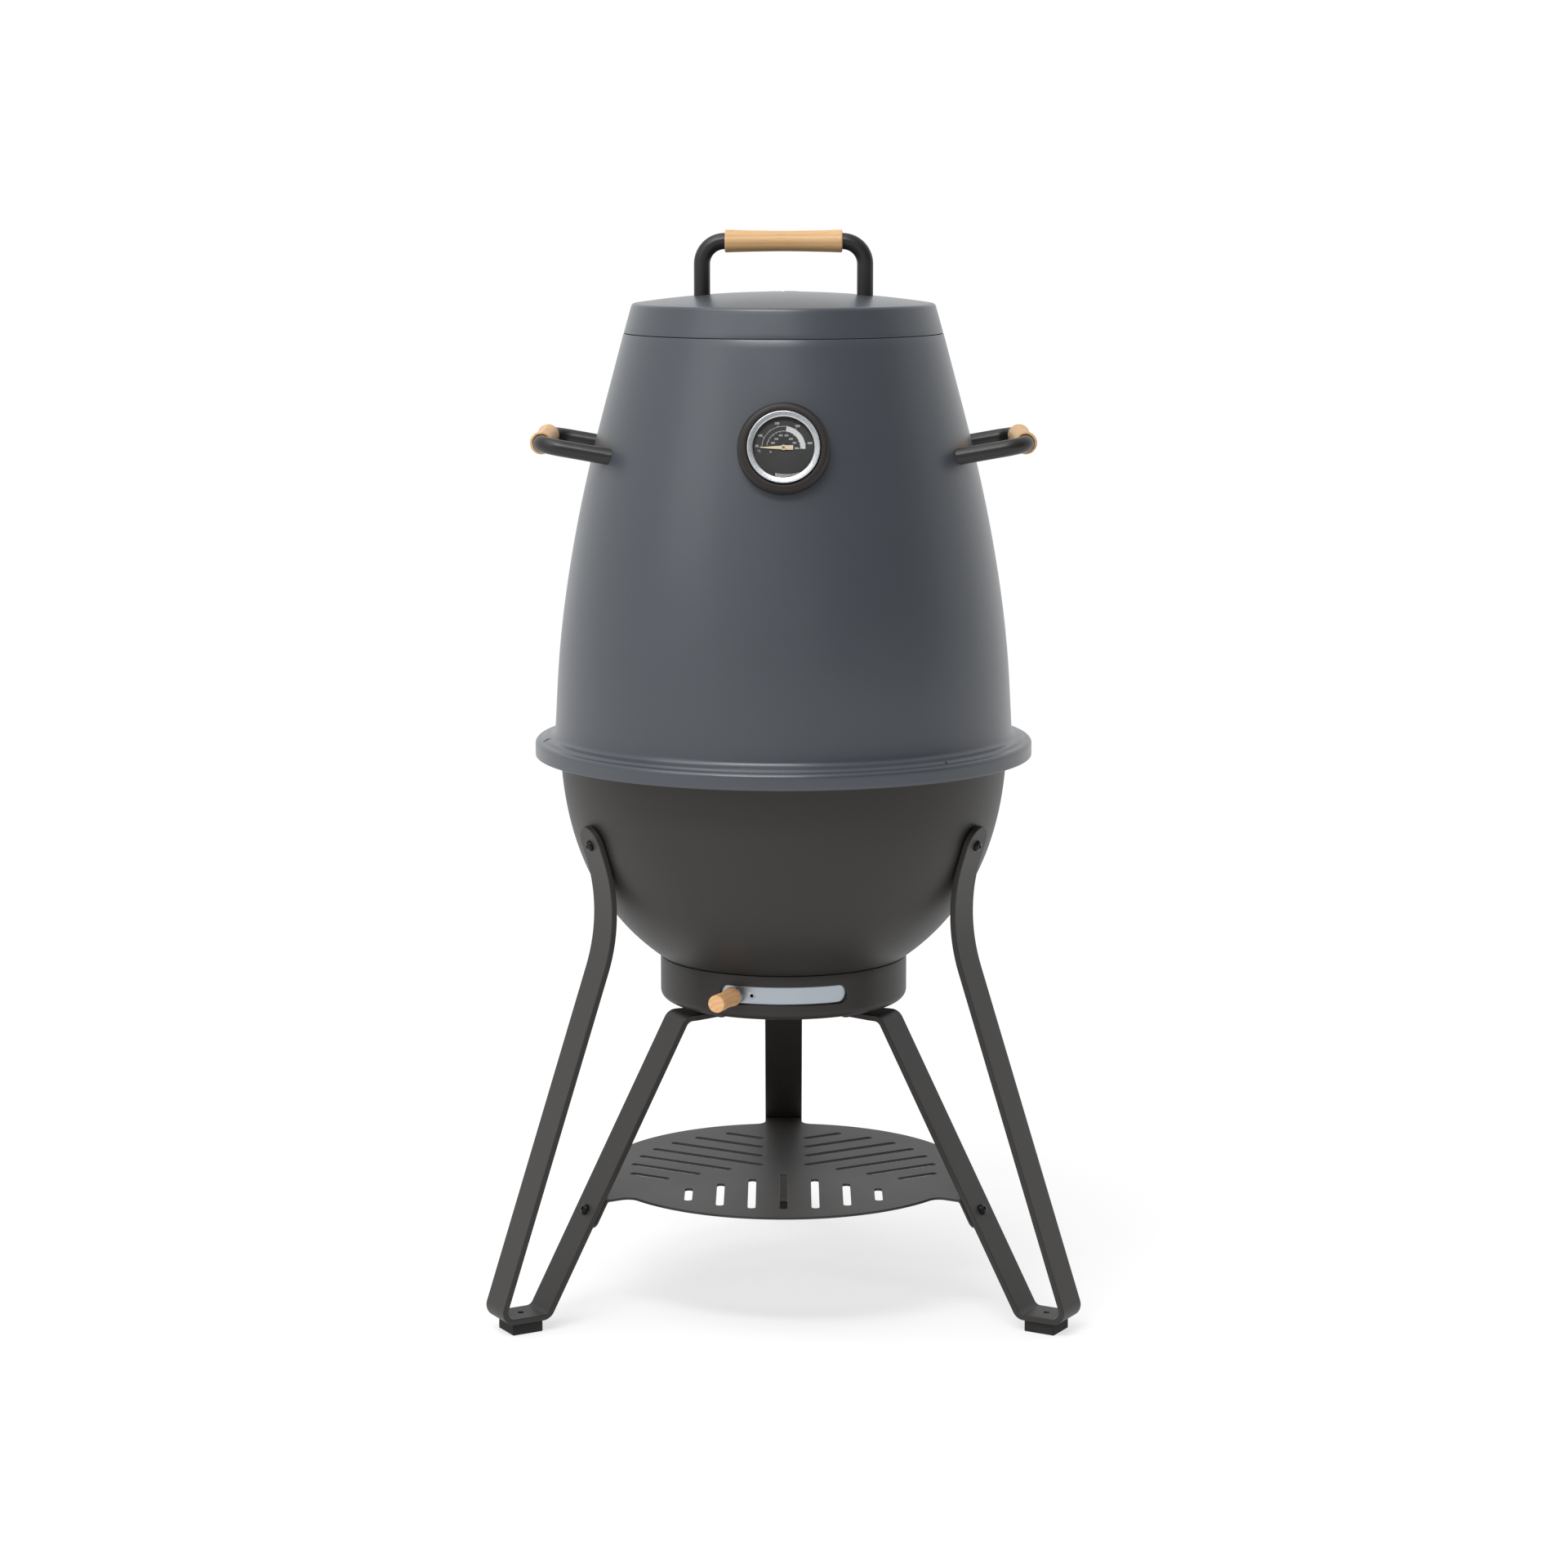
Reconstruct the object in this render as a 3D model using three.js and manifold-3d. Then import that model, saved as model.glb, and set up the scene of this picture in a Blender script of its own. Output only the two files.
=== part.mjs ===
// Vertical charcoal smoker on a three-legged stand.
// Millimetres, +Z up, floor at z = 0.  The front faces -Y.
import * as THREE from 'three';
import { mergeVertices } from 'three/addons/utils/BufferGeometryUtils.js';
import Module from 'manifold-3d';

const wasm = await Module();
wasm.setup();
const { Manifold, Mesh: SolidMesh } = wasm;

// ---------------------------------------------------------------- dimensions
const GAP = 0.35;               // clearance between neighbouring pieces
const N = 36;                   // facets round the large shells
const SHEET = 2.0;              // sheet thickness of hood and lid
const BOWL_T = 2.5;             // sheet thickness of bowl and drum

const FLANGE_R = 254.7;         // outer radius of the hood's bottom rim
const FLANGE_Z0 = 568.5;        // lower edge of that rim
const SEAM_Z = 997.6;           // joint between hood and lid
const LID_CREST = 1038.5;       // highest point of the lid's dome
const LID_DOME_R = 1015;        // radius of curvature of the dome

const DRUM_R = 127.4;           // ash drum
const DRUM_Z0 = 313;            // rim of the drum's floor
const DRUM_BASE = 308.3;        // pressed-down middle of the drum's floor
const SLOT_HALF_DEG = 30.4;     // air slot, half angle
const SLOT_Z0 = 329, SLOT_Z1 = 347.5;
const KNOB_DEG = -23;           // slider knob, measured from the front, left negative
const KNOB_Z = 337.6;
const SLIDER_TRAVEL = 46;       // degrees

const LEG_W = 40, LEG_T = 6;    // flat bar of the legs
const PAD = 33.6, PAD_H = 11.5; // rubber foot pads
const PAD_RHO = 307.3;
const LEG_AZ = { left: 210, right: -30, rear: 90 };   // degrees about +Z from +X

const SHELF_Z = 127.5, SHELF_R = 191.5, SHELF_T = 2.2;
const SLOT_W = 8, SLOT_OFFSETS = [0, 32.3, 64.6, 97.0];
const SLOT_IN = [25, 44.5, 62.5, 81], SLOT_OUT_R = 160.4;

const TUBE_R = 8.25, POST_X = 82.3, BEND_R = 22.8;    // handle tubes
const GRIP_L = 118.5, GRIP_R = 11.4, GRIP_WAIST = 10.2, GRIP_BORE = 8.75;
const LID_GRIP_Z = 1089.2;
const SIDE_GRIP_X = 242.6, SIDE_GRIP_Z = 890, SIDE_TILT = 10;

const THERMO_Z = 893.2, THERMO_TILT = 14.2;           // dial leans back with the wall
const DAMPER_Y = 108;                                 // exhaust damper behind the lid handle

// the whole smoker is moved so that its footprint is centred on x = 0, y = 0
const FOOT_REACH = 336.46;
const AXIS_Y = -(FOOT_REACH - FLANGE_R) / 2;

// ---------------------------------------------------------------- profiles (radius, height)
const HOOD_OUT = [
  [161.8, 997.3], [163.3, 992.2], [175.6, 946.2], [190.9, 888], [199.9, 852], [212.1, 792.2],
  [222.5, 732.2], [229.2, 672], [233.1, 612], [233.9, 599], [235.4, 593.2], [239.6, 589.0],
  [243.6, 587.9], [247.6, 585.4], [252.6, 584.2], [254.7, 580.5], [254.7, FLANGE_Z0]];
const HOOD_IN = [                // sheet thickness inside HOOD_OUT, in fewer steps
  [252.7, FLANGE_Z0], [252.7, 580.2], [251.3, 582.2], [242.2, 584.8], [233.0, 591.8], [231.9, 599], [231.1, 612],
  [227.2, 672], [220.5, 732.2], [197.9, 852], [161.3, 992.2], [159.8, 997.3]];
const BOWL_OUT = [
  [124.4, 350.2], [124.4, 357.4], [127.4, 359.8], [146.6, 374.8], [160.5, 387.9], [179.4, 410.7],
  [195.6, 436.4], [207.8, 462.7], [218.4, 496], [226.2, 536.1], [229.2, 566], [230.8, 572.6],
  [236, 577.2], [249.2, 577.4]];

// ---------------------------------------------------------------- helpers
const rad = THREE.MathUtils.degToRad;
const dir = (deg) => [Math.cos(rad(deg)), Math.sin(rad(deg))];

function tidy(geometry) {                       // merged, closed, facing outward
  let g = geometry.index ? geometry.clone() : geometry;
  g.deleteAttribute('normal'); g.deleteAttribute('uv');
  g = mergeVertices(g, 1e-4);
  const p = g.attributes.position.array, src = g.index.array, keep = [];
  let volume = 0;
  for (let i = 0; i < src.length; i += 3) {
    const [a, b, c] = [src[i], src[i + 1], src[i + 2]];
    if (a === b || b === c || a === c) continue;
    keep.push(a, b, c);
    const A = 3 * a, B = 3 * b, C = 3 * c;
    volume += p[A] * (p[B + 1] * p[C + 2] - p[B + 2] * p[C + 1])
      + p[A + 1] * (p[B + 2] * p[C] - p[B] * p[C + 2])
      + p[A + 2] * (p[B] * p[C + 1] - p[B + 1] * p[C]);
  }
  if (volume < 0) for (let i = 0; i < keep.length; i += 3) [keep[i], keep[i + 1]] = [keep[i + 1], keep[i]];
  g.setIndex(keep);
  return g;
}
function solid(geometry) {
  const g = tidy(geometry);
  return new Manifold(new SolidMesh({
    numProp: 3, vertProperties: new Float32Array(g.attributes.position.array),
    triVerts: new Uint32Array(g.index.array),
  }));
}
function geometryOf(s) {
  const m = s.getMesh(), g = new THREE.BufferGeometry();
  const count = m.vertProperties.length / m.numProp, p = new Float32Array(3 * count);
  for (let i = 0; i < count; i++) for (let k = 0; k < 3; k++) p[3 * i + k] = m.vertProperties[m.numProp * i + k];
  g.setAttribute('position', new THREE.BufferAttribute(p, 3));
  g.setIndex(new THREE.BufferAttribute(new Uint32Array(m.triVerts), 1));
  return g;
}
// profile of [radius, height]; either from axis to axis or, with loop = true, closed on itself
function revolve(profile, loop, segments = N) {
  const pts = profile.map(([r, z]) => new THREE.Vector2(r, z));
  if (loop) pts.push(pts[0].clone());
  return new THREE.LatheGeometry(pts, segments).rotateX(Math.PI / 2);
}
const revolved = (profile, loop, segments) => solid(revolve(profile, loop, segments));
function offset(profile, d) {                   // d > 0 moves to the left of the direction of travel
  return profile.map((p, i) => {
    const a = profile[Math.max(i - 1, 0)], b = profile[Math.min(i + 1, profile.length - 1)];
    const u1 = [p[0] - a[0], p[1] - a[1]], u2 = [b[0] - p[0], b[1] - p[1]];
    const l1 = Math.hypot(...u1) || 1, l2 = Math.hypot(...u2) || 1;
    const n1 = i ? [-u1[1] / l1, u1[0] / l1] : [-u2[1] / l2, u2[0] / l2];
    const n2 = i < profile.length - 1 ? [-u2[1] / l2, u2[0] / l2] : n1;
    const m = [n1[0] + n2[0], n1[1] + n2[1]], s = Math.hypot(...m), c = s / 2;
    return [p[0] + m[0] / s * d / c, p[1] + m[1] / s * d / c];
  });
}
function shapeOf(points) {
  const s = new THREE.Shape();
  points.forEach(([x, y], i) => (i ? s.lineTo(x, y) : s.moveTo(x, y)));
  s.closePath();
  return s;
}
const extrude = (points, depth) => new THREE.ExtrudeGeometry(shapeOf(points), { depth, bevelEnabled: false });
const cyl = (r, z0, z1, seg = 10) => revolve([[0, z0], [r, z0], [r, z1], [0, z1]], false, seg);
const box = (x0, x1, y0, y1, z0, z1) =>
  new THREE.BoxGeometry(x1 - x0, y1 - y0, z1 - z0).translate((x0 + x1) / 2, (y0 + y1) / 2, (z0 + z1) / 2);
// a matrix that puts local +Z along `d` at point `o`; `x` is roughly the local +X
function frameAt(o, d, x = [1, 0, 0]) {
  const z = new THREE.Vector3(...d).normalize(), xx = new THREE.Vector3(...x);
  const y = new THREE.Vector3().crossVectors(z, xx).normalize();
  const m = new THREE.Matrix4().makeBasis(new THREE.Vector3().crossVectors(y, z), y, z);
  return m.setPosition(...o);
}
function sector(r, a0, a1, z0, z1) {            // pie slice, degrees from the front (-Y), left negative
  const pts = [[0, 0]], n = Math.ceil((a1 - a0) / 20);
  for (let i = 0; i <= n; i++) {
    const a = rad(a0 + (a1 - a0) * i / n);
    pts.push([r * Math.sin(a), -r * Math.cos(a)]);
  }
  return extrude(pts, z1 - z0).translate(0, 0, z0);
}
// polyline with rounded corners: [[x, y, radius], ...] -> points
function rounded(corners, perTurn = 9) {
  const out = [];
  corners.forEach(([x, y, r], i) => {
    if (!r || i === 0 || i === corners.length - 1) { out.push([x, y]); return; }
    const a = corners[i - 1], b = corners[i + 1];
    const u = [a[0] - x, a[1] - y], v = [b[0] - x, b[1] - y];
    const lu = Math.hypot(...u), lv = Math.hypot(...v);
    const dot = (u[0] * v[0] + u[1] * v[1]) / lu / lv, half = Math.acos(dot) / 2, t = r / Math.tan(half);
    const p = [x + u[0] / lu * t, y + u[1] / lu * t];
    const k = r / Math.sin(half), w = [u[0] / lu + v[0] / lv, u[1] / lu + v[1] / lv], lw = Math.hypot(...w);
    const c = [x + w[0] / lw * k, y + w[1] / lw * k];
    const q = [x + v[0] / lv * t, y + v[1] / lv * t];
    let a0 = Math.atan2(p[1] - c[1], p[0] - c[0]), a1 = Math.atan2(q[1] - c[1], q[0] - c[0]);
    while (a1 - a0 > Math.PI) a1 -= 2 * Math.PI;
    while (a0 - a1 > Math.PI) a1 += 2 * Math.PI;
    const n = Math.max(2, Math.round(Math.abs(a1 - a0) / (Math.PI / 2) * perTurn));
    for (let j = 0; j <= n; j++) {
      const f = a0 + (a1 - a0) * j / n;
      out.push([c[0] + r * Math.cos(f), c[1] + r * Math.sin(f)]);
    }
  });
  return out;
}
const meet = (p, d, q, e) => {                  // crossing of two lines, point + direction
  const k = ((q[0] - p[0]) * e[1] - (q[1] - p[1]) * e[0]) / (d[0] * e[1] - d[1] * e[0]);
  return [p[0] + d[0] * k, p[1] + d[1] * k];
};
class KeyedPath extends THREE.Curve {           // path that steps only through its own key points
  constructor(points) { super(); this.points = points.map((p) => new THREE.Vector3(...p)); }
  getPoint(t) { return this.points[Math.round(t * (this.points.length - 1))].clone(); }
  getPointAt(u) { return this.getPoint(u); }
  getTangentAt(u) {
    const i = Math.round(u * (this.points.length - 1)), n = this.points.length - 1;
    const a = this.points[Math.max(i - 1, 0)], b = this.points[Math.min(i + 1, n)];
    return b.clone().sub(a).normalize();
  }
  getSpacedPoints() { return this.points.map((p) => p.clone()); }
}
function tubeAlong(points, r, sides = 12) {
  const s = new THREE.Shape();
  for (let i = 0; i < sides; i++) {
    const a = 2 * Math.PI * i / sides;
    i ? s.lineTo(r * Math.cos(a), r * Math.sin(a)) : s.moveTo(r, 0);
  }
  s.closePath();
  return new THREE.ExtrudeGeometry(s, { steps: points.length - 1, extrudePath: new KeyedPath(points), bevelEnabled: false });
}

// ---------------------------------------------------------------- finishes
const finish = (color, roughness, metalness) => new THREE.MeshStandardMaterial({ color, roughness, metalness });
const HOOD_BLUE = finish('#5f6469', 0.55, 0.35), BOWL_GREY = finish('#4a4745', 0.6, 0.3);
const TUBE_BLACK = finish('#2a2826', 0.45, 0.5), WOOD = finish('#cda573', 0.6, 0);
const STEEL = finish('#c5ccd2', 0.3, 1), CHROME = finish('#dddddd', 0.12, 1);
const RUBBER = finish('#1b1a1a', 0.85, 0), BOLT = finish('#191919', 0.45, 0.6);
const DIAL = finish('#2a2a2a', 0.6, 0), CREAM = finish('#f0dcb4', 0.5, 0), GLASS = finish('#ffffff', 0.05, 0);
const GRATE = finish('#8f9294', 0.35, 0.9);

const smoker = new THREE.Group();
const axis = new THREE.Group();
axis.position.y = AXIS_Y;
smoker.add(axis);
function add(name, shape, material, parent = axis) {
  const g = shape.getMesh ? geometryOf(shape) : tidy(shape);
  const m = new THREE.Mesh(g, material);
  m.name = name;
  parent.add(m);
  return m;
}
// button-head screw: head on local z = 0 upward, shank downward
function screw(headR, headH, shankR, length, socket = 0) {
  const s = revolved([[0, -length], [shankR, -length], [shankR, 0], [headR, 0], [headR * 0.85, headH], [0, headH]], false, 10);
  return socket ? s.subtract(solid(cyl(socket, headH * 0.35, headH + 1, 6))) : s;
}
const placed = (s, m) => s.transform(m.toArray());

// ---------------------------------------------------------------- ash drum, bowl
const bowlIn = offset(BOWL_OUT.slice(1), BOWL_T).map(([r, z]) => [r, z]);
bowlIn[0] = [121.9, 358.8];
const bowlLoop = [...BOWL_OUT, [249.2, 579.9], ...bowlIn.slice(0, -1).reverse(), [121.9, 350.2]];
let bowl = revolved(bowlLoop, true);

let drum = revolved([[0, DRUM_BASE], [88, DRUM_BASE], [96, DRUM_Z0 - 0.6], [DRUM_R - 9, DRUM_Z0],
  [DRUM_R - 2.6, DRUM_Z0 + 2.6], [DRUM_R, DRUM_Z0 + 9], [DRUM_R, 358.9], [DRUM_R - 2.4, 357.0],
  [DRUM_R - 2.4, DRUM_Z0 + 9.6], [DRUM_R - 9.6, DRUM_Z0 + 2.4],
  [95, DRUM_Z0 + 1.8], [87, DRUM_BASE + 2.4], [0, DRUM_BASE + 2.4]], false);
const slotR = (SLOT_Z1 - SLOT_Z0) / 2, slotMid = (SLOT_Z1 + SLOT_Z0) / 2;
const slotEnd = SLOT_HALF_DEG - THREE.MathUtils.radToDeg(slotR / DRUM_R);
let slotCut = revolved([[118, SLOT_Z0], [133, SLOT_Z0], [133, SLOT_Z1], [118, SLOT_Z1]], true)
  .intersect(solid(sector(170, -slotEnd, slotEnd, SLOT_Z0 - 5, SLOT_Z1 + 5)));
for (const s of [-1, 1]) {
  const a = rad(s * slotEnd), d = [Math.sin(a), -Math.cos(a), 0];
  slotCut = slotCut.add(placed(solid(cyl(slotR, 112, 136, 12)), frameAt([0, 0, slotMid], d, [0, 0, 1])));
}
drum = drum.subtract(slotCut);

// ---------------------------------------------------------------- legs
const tilt1 = rad(19.1), tilt0 = rad(17.7), tilt2 = rad(29.0);
const ARC_R = 175, ARC_MIN = [210.4, 421];
const arcC = [ARC_MIN[0] + ARC_R, ARC_MIN[1]];
const topPt = [arcC[0] - ARC_R * Math.cos(tilt0), arcC[1] + ARC_R * Math.sin(tilt0)];
const lowPt = [arcC[0] - ARC_R * Math.cos(tilt1), arcC[1] - ARC_R * Math.sin(tilt1)];
const dTop = [Math.sin(tilt0), Math.cos(tilt0)], dOut = [Math.sin(tilt1), -Math.cos(tilt1)];
const dIn = [-Math.sin(tilt2), Math.cos(tilt2)];
const h = LEG_T / 2;
const cTop = [topPt[0] - h * Math.cos(tilt0), topPt[1] + h * Math.sin(tilt0)];
const cOut = [lowPt[0] - h * Math.cos(tilt1), lowPt[1] - h * Math.sin(tilt1)];
const cIn = [144.2 + h * Math.cos(tilt2), 262.7 + h * Math.sin(tilt2)];
const FLAT_Z = PAD_H + GAP + h, TAB_Z = DRUM_BASE - GAP - h - 0.2;
const BOLT_TOP_Z = 491;
const bankTop = [cTop[0] + dTop[0] * (512.2 - cTop[1]) / dTop[1], 512.2];
const TAB_END = 60;
const legPath = rounded([
  [...bankTop, 0], [...meet(cTop, dTop, cOut, dOut), ARC_R + h],
  [...meet(cOut, dOut, [0, FLAT_Z], [1, 0]), 10.5], [...meet(cIn, dIn, [0, FLAT_Z], [1, 0]), 10.5],
  [...meet(cIn, dIn, [0, TAB_Z], [1, 0]), 11], [TAB_END, TAB_Z, 0]], 5);
const legSide = [...offset(legPath, h), ...offset(legPath, -h).reverse()];
const legBlank = solid(extrude(legSide, LEG_W).rotateX(Math.PI / 2).translate(0, LEG_W / 2, 0));
// plan of the bar seen from outside: a round top end about the bolt
const capPts = [[-LEG_W / 2 - 1, -5], [-LEG_W / 2 - 1, 400], [-LEG_W / 2, 400]];
for (let i = 0; i <= 10; i++) {
  const a = Math.PI - Math.PI * i / 10;
  capPts.push([LEG_W / 2 * Math.cos(a), BOLT_TOP_Z + LEG_W / 2 * Math.sin(a) * 0.96]);
}
capPts.push([LEG_W / 2, 400], [LEG_W / 2 + 1, 400], [LEG_W / 2 + 1, -5]);
const capMask = solid(extrude(capPts, 500).applyMatrix4(new THREE.Matrix4().makeBasis(
  new THREE.Vector3(0, 1, 0), new THREE.Vector3(0, 0, 1), new THREE.Vector3(1, 0, 0))));
// plan from above: the tab under the drum narrows to its end
const tabMask = solid(extrude([[TAB_END - 5, -9], [112, -LEG_W / 2 - 0.5], [420, -LEG_W / 2 - 0.5],
  [420, LEG_W / 2 + 0.5], [112, LEG_W / 2 + 0.5], [TAB_END - 5, 9]], 560).translate(0, 0, -10));
const onTop = (z) => cTop[0] + dTop[0] * (z - cTop[1]) / dTop[1];
const onIn = (z) => cIn[0] + dIn[0] * (z - cIn[1]) / dIn[1];
const topBolt = { o: [onTop(BOLT_TOP_Z), 0, BOLT_TOP_Z], n: [Math.cos(tilt0), 0, -Math.sin(tilt0)] };
const SHELF_BOLT_Z = 113.4;
const shelfBolt = { o: [onIn(SHELF_BOLT_Z), 0, SHELF_BOLT_Z], n: [Math.cos(tilt2), 0, Math.sin(tilt2)] };
const DRUM_BOLT_RHO = 74;
const drill = (o, n, r, back, front) => placed(solid(cyl(r, -back, front, 12)), frameAt(o, n, [0, 1, 0]));
const leg = legBlank.intersect(capMask).intersect(tabMask)
  .subtract(drill(topBolt.o, topBolt.n, 3.4, 9, 9))
  .subtract(drill(shelfBolt.o, shelfBolt.n, 3.4, 9, 9))
  .subtract(solid(cyl(3.6, TAB_Z - 9, TAB_Z + 9).translate(DRUM_BOLT_RHO, 0, 0)))
  .subtract(solid(cyl(2.9, FLAT_Z - 9, FLAT_Z + 9).translate(PAD_RHO, 0, 0)));
// square rubber pad with a plug that presses up into the bar
const pad = revolved([[0, 0], [PAD / 2 * Math.SQRT2 - 1.2, 0], [PAD / 2 * Math.SQRT2, 1.2], [PAD / 2 * Math.SQRT2, PAD_H], [0, PAD_H]], false, 4)
  .transform(new THREE.Matrix4().makeRotationZ(Math.PI / 4).toArray())
  .add(solid(cyl(2.5, PAD_H - 1, PAD_H + 5.2)))
  .transform(new THREE.Matrix4().makeTranslation(PAD_RHO, 0, 0).toArray());

// inside bracket: a strap on the bowl's wall with a ledge for the water pan and one for the grate
const wallAt = (z) => {
  for (let i = 1; i < bowlIn.length; i++) if (z <= bowlIn[i][1]) {
    const [a, b] = [bowlIn[i - 1], bowlIn[i]];
    return a[0] + (b[0] - a[0]) * (z - a[1]) / (b[1] - a[1]);
  }
  return bowlIn[bowlIn.length - 1][0];
};
const PAN_LEDGE = 508, GRATE_LEDGE = 562;
const strapOut = [478, 490, 502, 514, 532, 550, GRATE_LEDGE].map((z) => [wallAt(z) - 2.1, z]);
const strapIn = offset(strapOut, 2.2);
const bracketSide = [...strapOut, [strapOut[6][0] - 22, GRATE_LEDGE], [strapOut[6][0] - 22, GRATE_LEDGE - 2.2], [strapIn[6][0], GRATE_LEDGE - 2.2],
  strapIn[5], strapIn[4], [strapIn[3][0] - 0.6, PAN_LEDGE + 1.2], [179, PAN_LEDGE + 1.2], [179, PAN_LEDGE - 1.2], [strapIn[2][0] + 0.3, PAN_LEDGE - 1.2], strapIn[1], strapIn[0]];
const bracket = solid(extrude(bracketSide, 24).rotateX(Math.PI / 2).translate(0, 12, 0))
  .add(placed(solid(cyl(6.2, -12, -7.6, 6)), frameAt([topBolt.o[0] - 0.3, 0, topBolt.o[2] + 0.2], topBolt.n, [0, 1, 0])))
  .subtract(drill(topBolt.o, topBolt.n, 3.4, 14, 9));

// ---------------------------------------------------------------- shelf
const wingTop = SHELF_Z, wingMid = SHELF_Z - SHELF_T / 2, hw = LEG_W / 2;
const lowFace = [cIn[0] - (h + 0.45 + SHELF_T / 2) * Math.cos(tilt2), cIn[1] - (h + 0.45 + SHELF_T / 2) * Math.sin(tilt2)];
const tabCorner = meet(lowFace, dIn, [0, wingMid], [1, 0]);
const tabLow = [tabCorner[0] - dIn[0] * 27 / dIn[1], tabCorner[1] - 27];
const wingPath = rounded([[150, wingMid, 0], [...tabCorner, 4], [...tabLow, 0]], 5);
const wingSide = [...offset(wingPath, SHELF_T / 2), ...offset(wingPath, -SHELF_T / 2).reverse()];
const wing = solid(extrude(wingSide, LEG_W).rotateX(Math.PI / 2).translate(0, hw, 0))
  .add(placed(solid(cyl(5.8, -9.8, -4.9, 6)), frameAt(shelfBolt.o, shelfBolt.n, [0, 1, 0])))
  .subtract(drill(shelfBolt.o, shelfBolt.n, 3.4, 16, 6));
function stadium(x, y0, y1, w) {                // slot along -Y
  const r = w / 2, pts = [];
  for (let i = 0; i <= 4; i++) { const a = Math.PI * i / 4; pts.push([x + r * Math.cos(a), -y0 - r + r * Math.sin(a)]); }
  for (let i = 0; i <= 4; i++) { const a = Math.PI + Math.PI * i / 4; pts.push([x + r * Math.cos(a), -y1 + r + r * Math.sin(a)]); }
  return pts;
}
const plate = [];
for (const az of [-90, 30, 150].map((a) => a + 60)) {        // outline: arc, fillet, wing, fillet
  const a0 = rad(az), turn = ([p, q]) => [p * Math.cos(a0) - q * Math.sin(a0), p * Math.sin(a0) + q * Math.cos(a0)];
  const f = 12, cx = Math.sqrt((SHELF_R + f) ** 2 - (hw + f) ** 2), b = Math.atan2(hw + f, cx);
  const left = [], right = [];
  for (let i = 0; i <= 4; i++) {
    const s = b + Math.PI, e = Math.PI * 1.5, t = s + (e - s) * i / 4;
    right.push([cx + f * Math.cos(t), hw + f + f * Math.sin(t)]);
  }
  for (const p of right) left.unshift([p[0], -p[1]]);
  const tip = tabCorner[0] - 6;
  // travelling counter-clockwise: arrive on the low side of the wing, leave on the high side
  const arrive = [...left].reverse();
  plate.push(...arrive.map(turn), turn([tip, -hw]), turn([tip, hw]), ...[...right].reverse().map(turn));
  for (let i = 1; i < 10; i++) {
    const t = b + (rad(120) - 2 * b) * i / 10;
    plate.push(turn([SHELF_R * Math.cos(t), SHELF_R * Math.sin(t)]));
  }
}
const plateShape = shapeOf(plate);
for (let k = 0; k < 3; k++) {
  SLOT_OFFSETS.forEach((off, i) => {
    for (const s of off ? [-1, 1] : [1]) {
      const far = Math.sqrt(SLOT_OUT_R ** 2 - off ** 2);
      const pts = stadium(s * off, SLOT_IN[i], far, SLOT_W).map(([x, y]) => {
        const a = rad(120 * k);
        return [x * Math.cos(a) - y * Math.sin(a), x * Math.sin(a) + y * Math.cos(a)];
      });
      const hole = new THREE.Path();
      pts.forEach(([x, y], j) => (j ? hole.lineTo(x, y) : hole.moveTo(x, y)));
      hole.closePath();
      plateShape.holes.push(hole);
    }
  });
}
let shelf = solid(new THREE.ExtrudeGeometry(plateShape, { depth: SHELF_T, bevelEnabled: false }).translate(0, 0, SHELF_Z - SHELF_T));

for (const [side, az] of Object.entries(LEG_AZ)) {
  const g = new THREE.Group();
  g.rotation.z = rad(az);
  axis.add(g);
  const spin = new THREE.Matrix4().makeRotationZ(rad(az)).toArray();
  add(`leg_${side}`, leg, BOWL_GREY, g);
  add(`foot_pad_${side}`, pad, RUBBER, g);
  add(`grate_bracket_${side}`, bracket, STEEL, g);
  const bolt = screw(5.6, 3.6, 3, 15.5, 2.1);
  add(`leg_bolt_${side}`, placed(bolt, frameAt([topBolt.o[0] + topBolt.n[0] * (h + GAP), 0, topBolt.o[2] + topBolt.n[2] * (h + GAP)], topBolt.n, [0, 1, 0])), BOLT, g);
  add(`shelf_bolt_${side}`, placed(screw(5.6, 3.6, 3, 14, 2.1), frameAt([shelfBolt.o[0] + shelfBolt.n[0] * (h + GAP), 0, shelfBolt.o[2] + shelfBolt.n[2] * (h + GAP)], shelfBolt.n, [0, 1, 0])), BOLT, g);
  add(`drum_bolt_${side}`, placed(screw(5.6, 3.6, 3, 15, 2.1), frameAt([DRUM_BOLT_RHO, 0, TAB_Z - h - GAP], [0, 0, -1], [0, 1, 0])), BOLT, g);
  shelf = shelf.add(wing.transform(spin));
  bowl = bowl.subtract(drill(topBolt.o, topBolt.n, 3.4, 12, 9).transform(spin));
  drum = drum.subtract(solid(cyl(3.6, DRUM_BASE - 5, DRUM_BASE + 9).translate(DRUM_BOLT_RHO, 0, 0)).transform(spin));
}
add('bowl', bowl, BOWL_GREY);
add('ash_drum', drum, BOWL_GREY);
add('shelf', shelf, BOWL_GREY);

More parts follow.
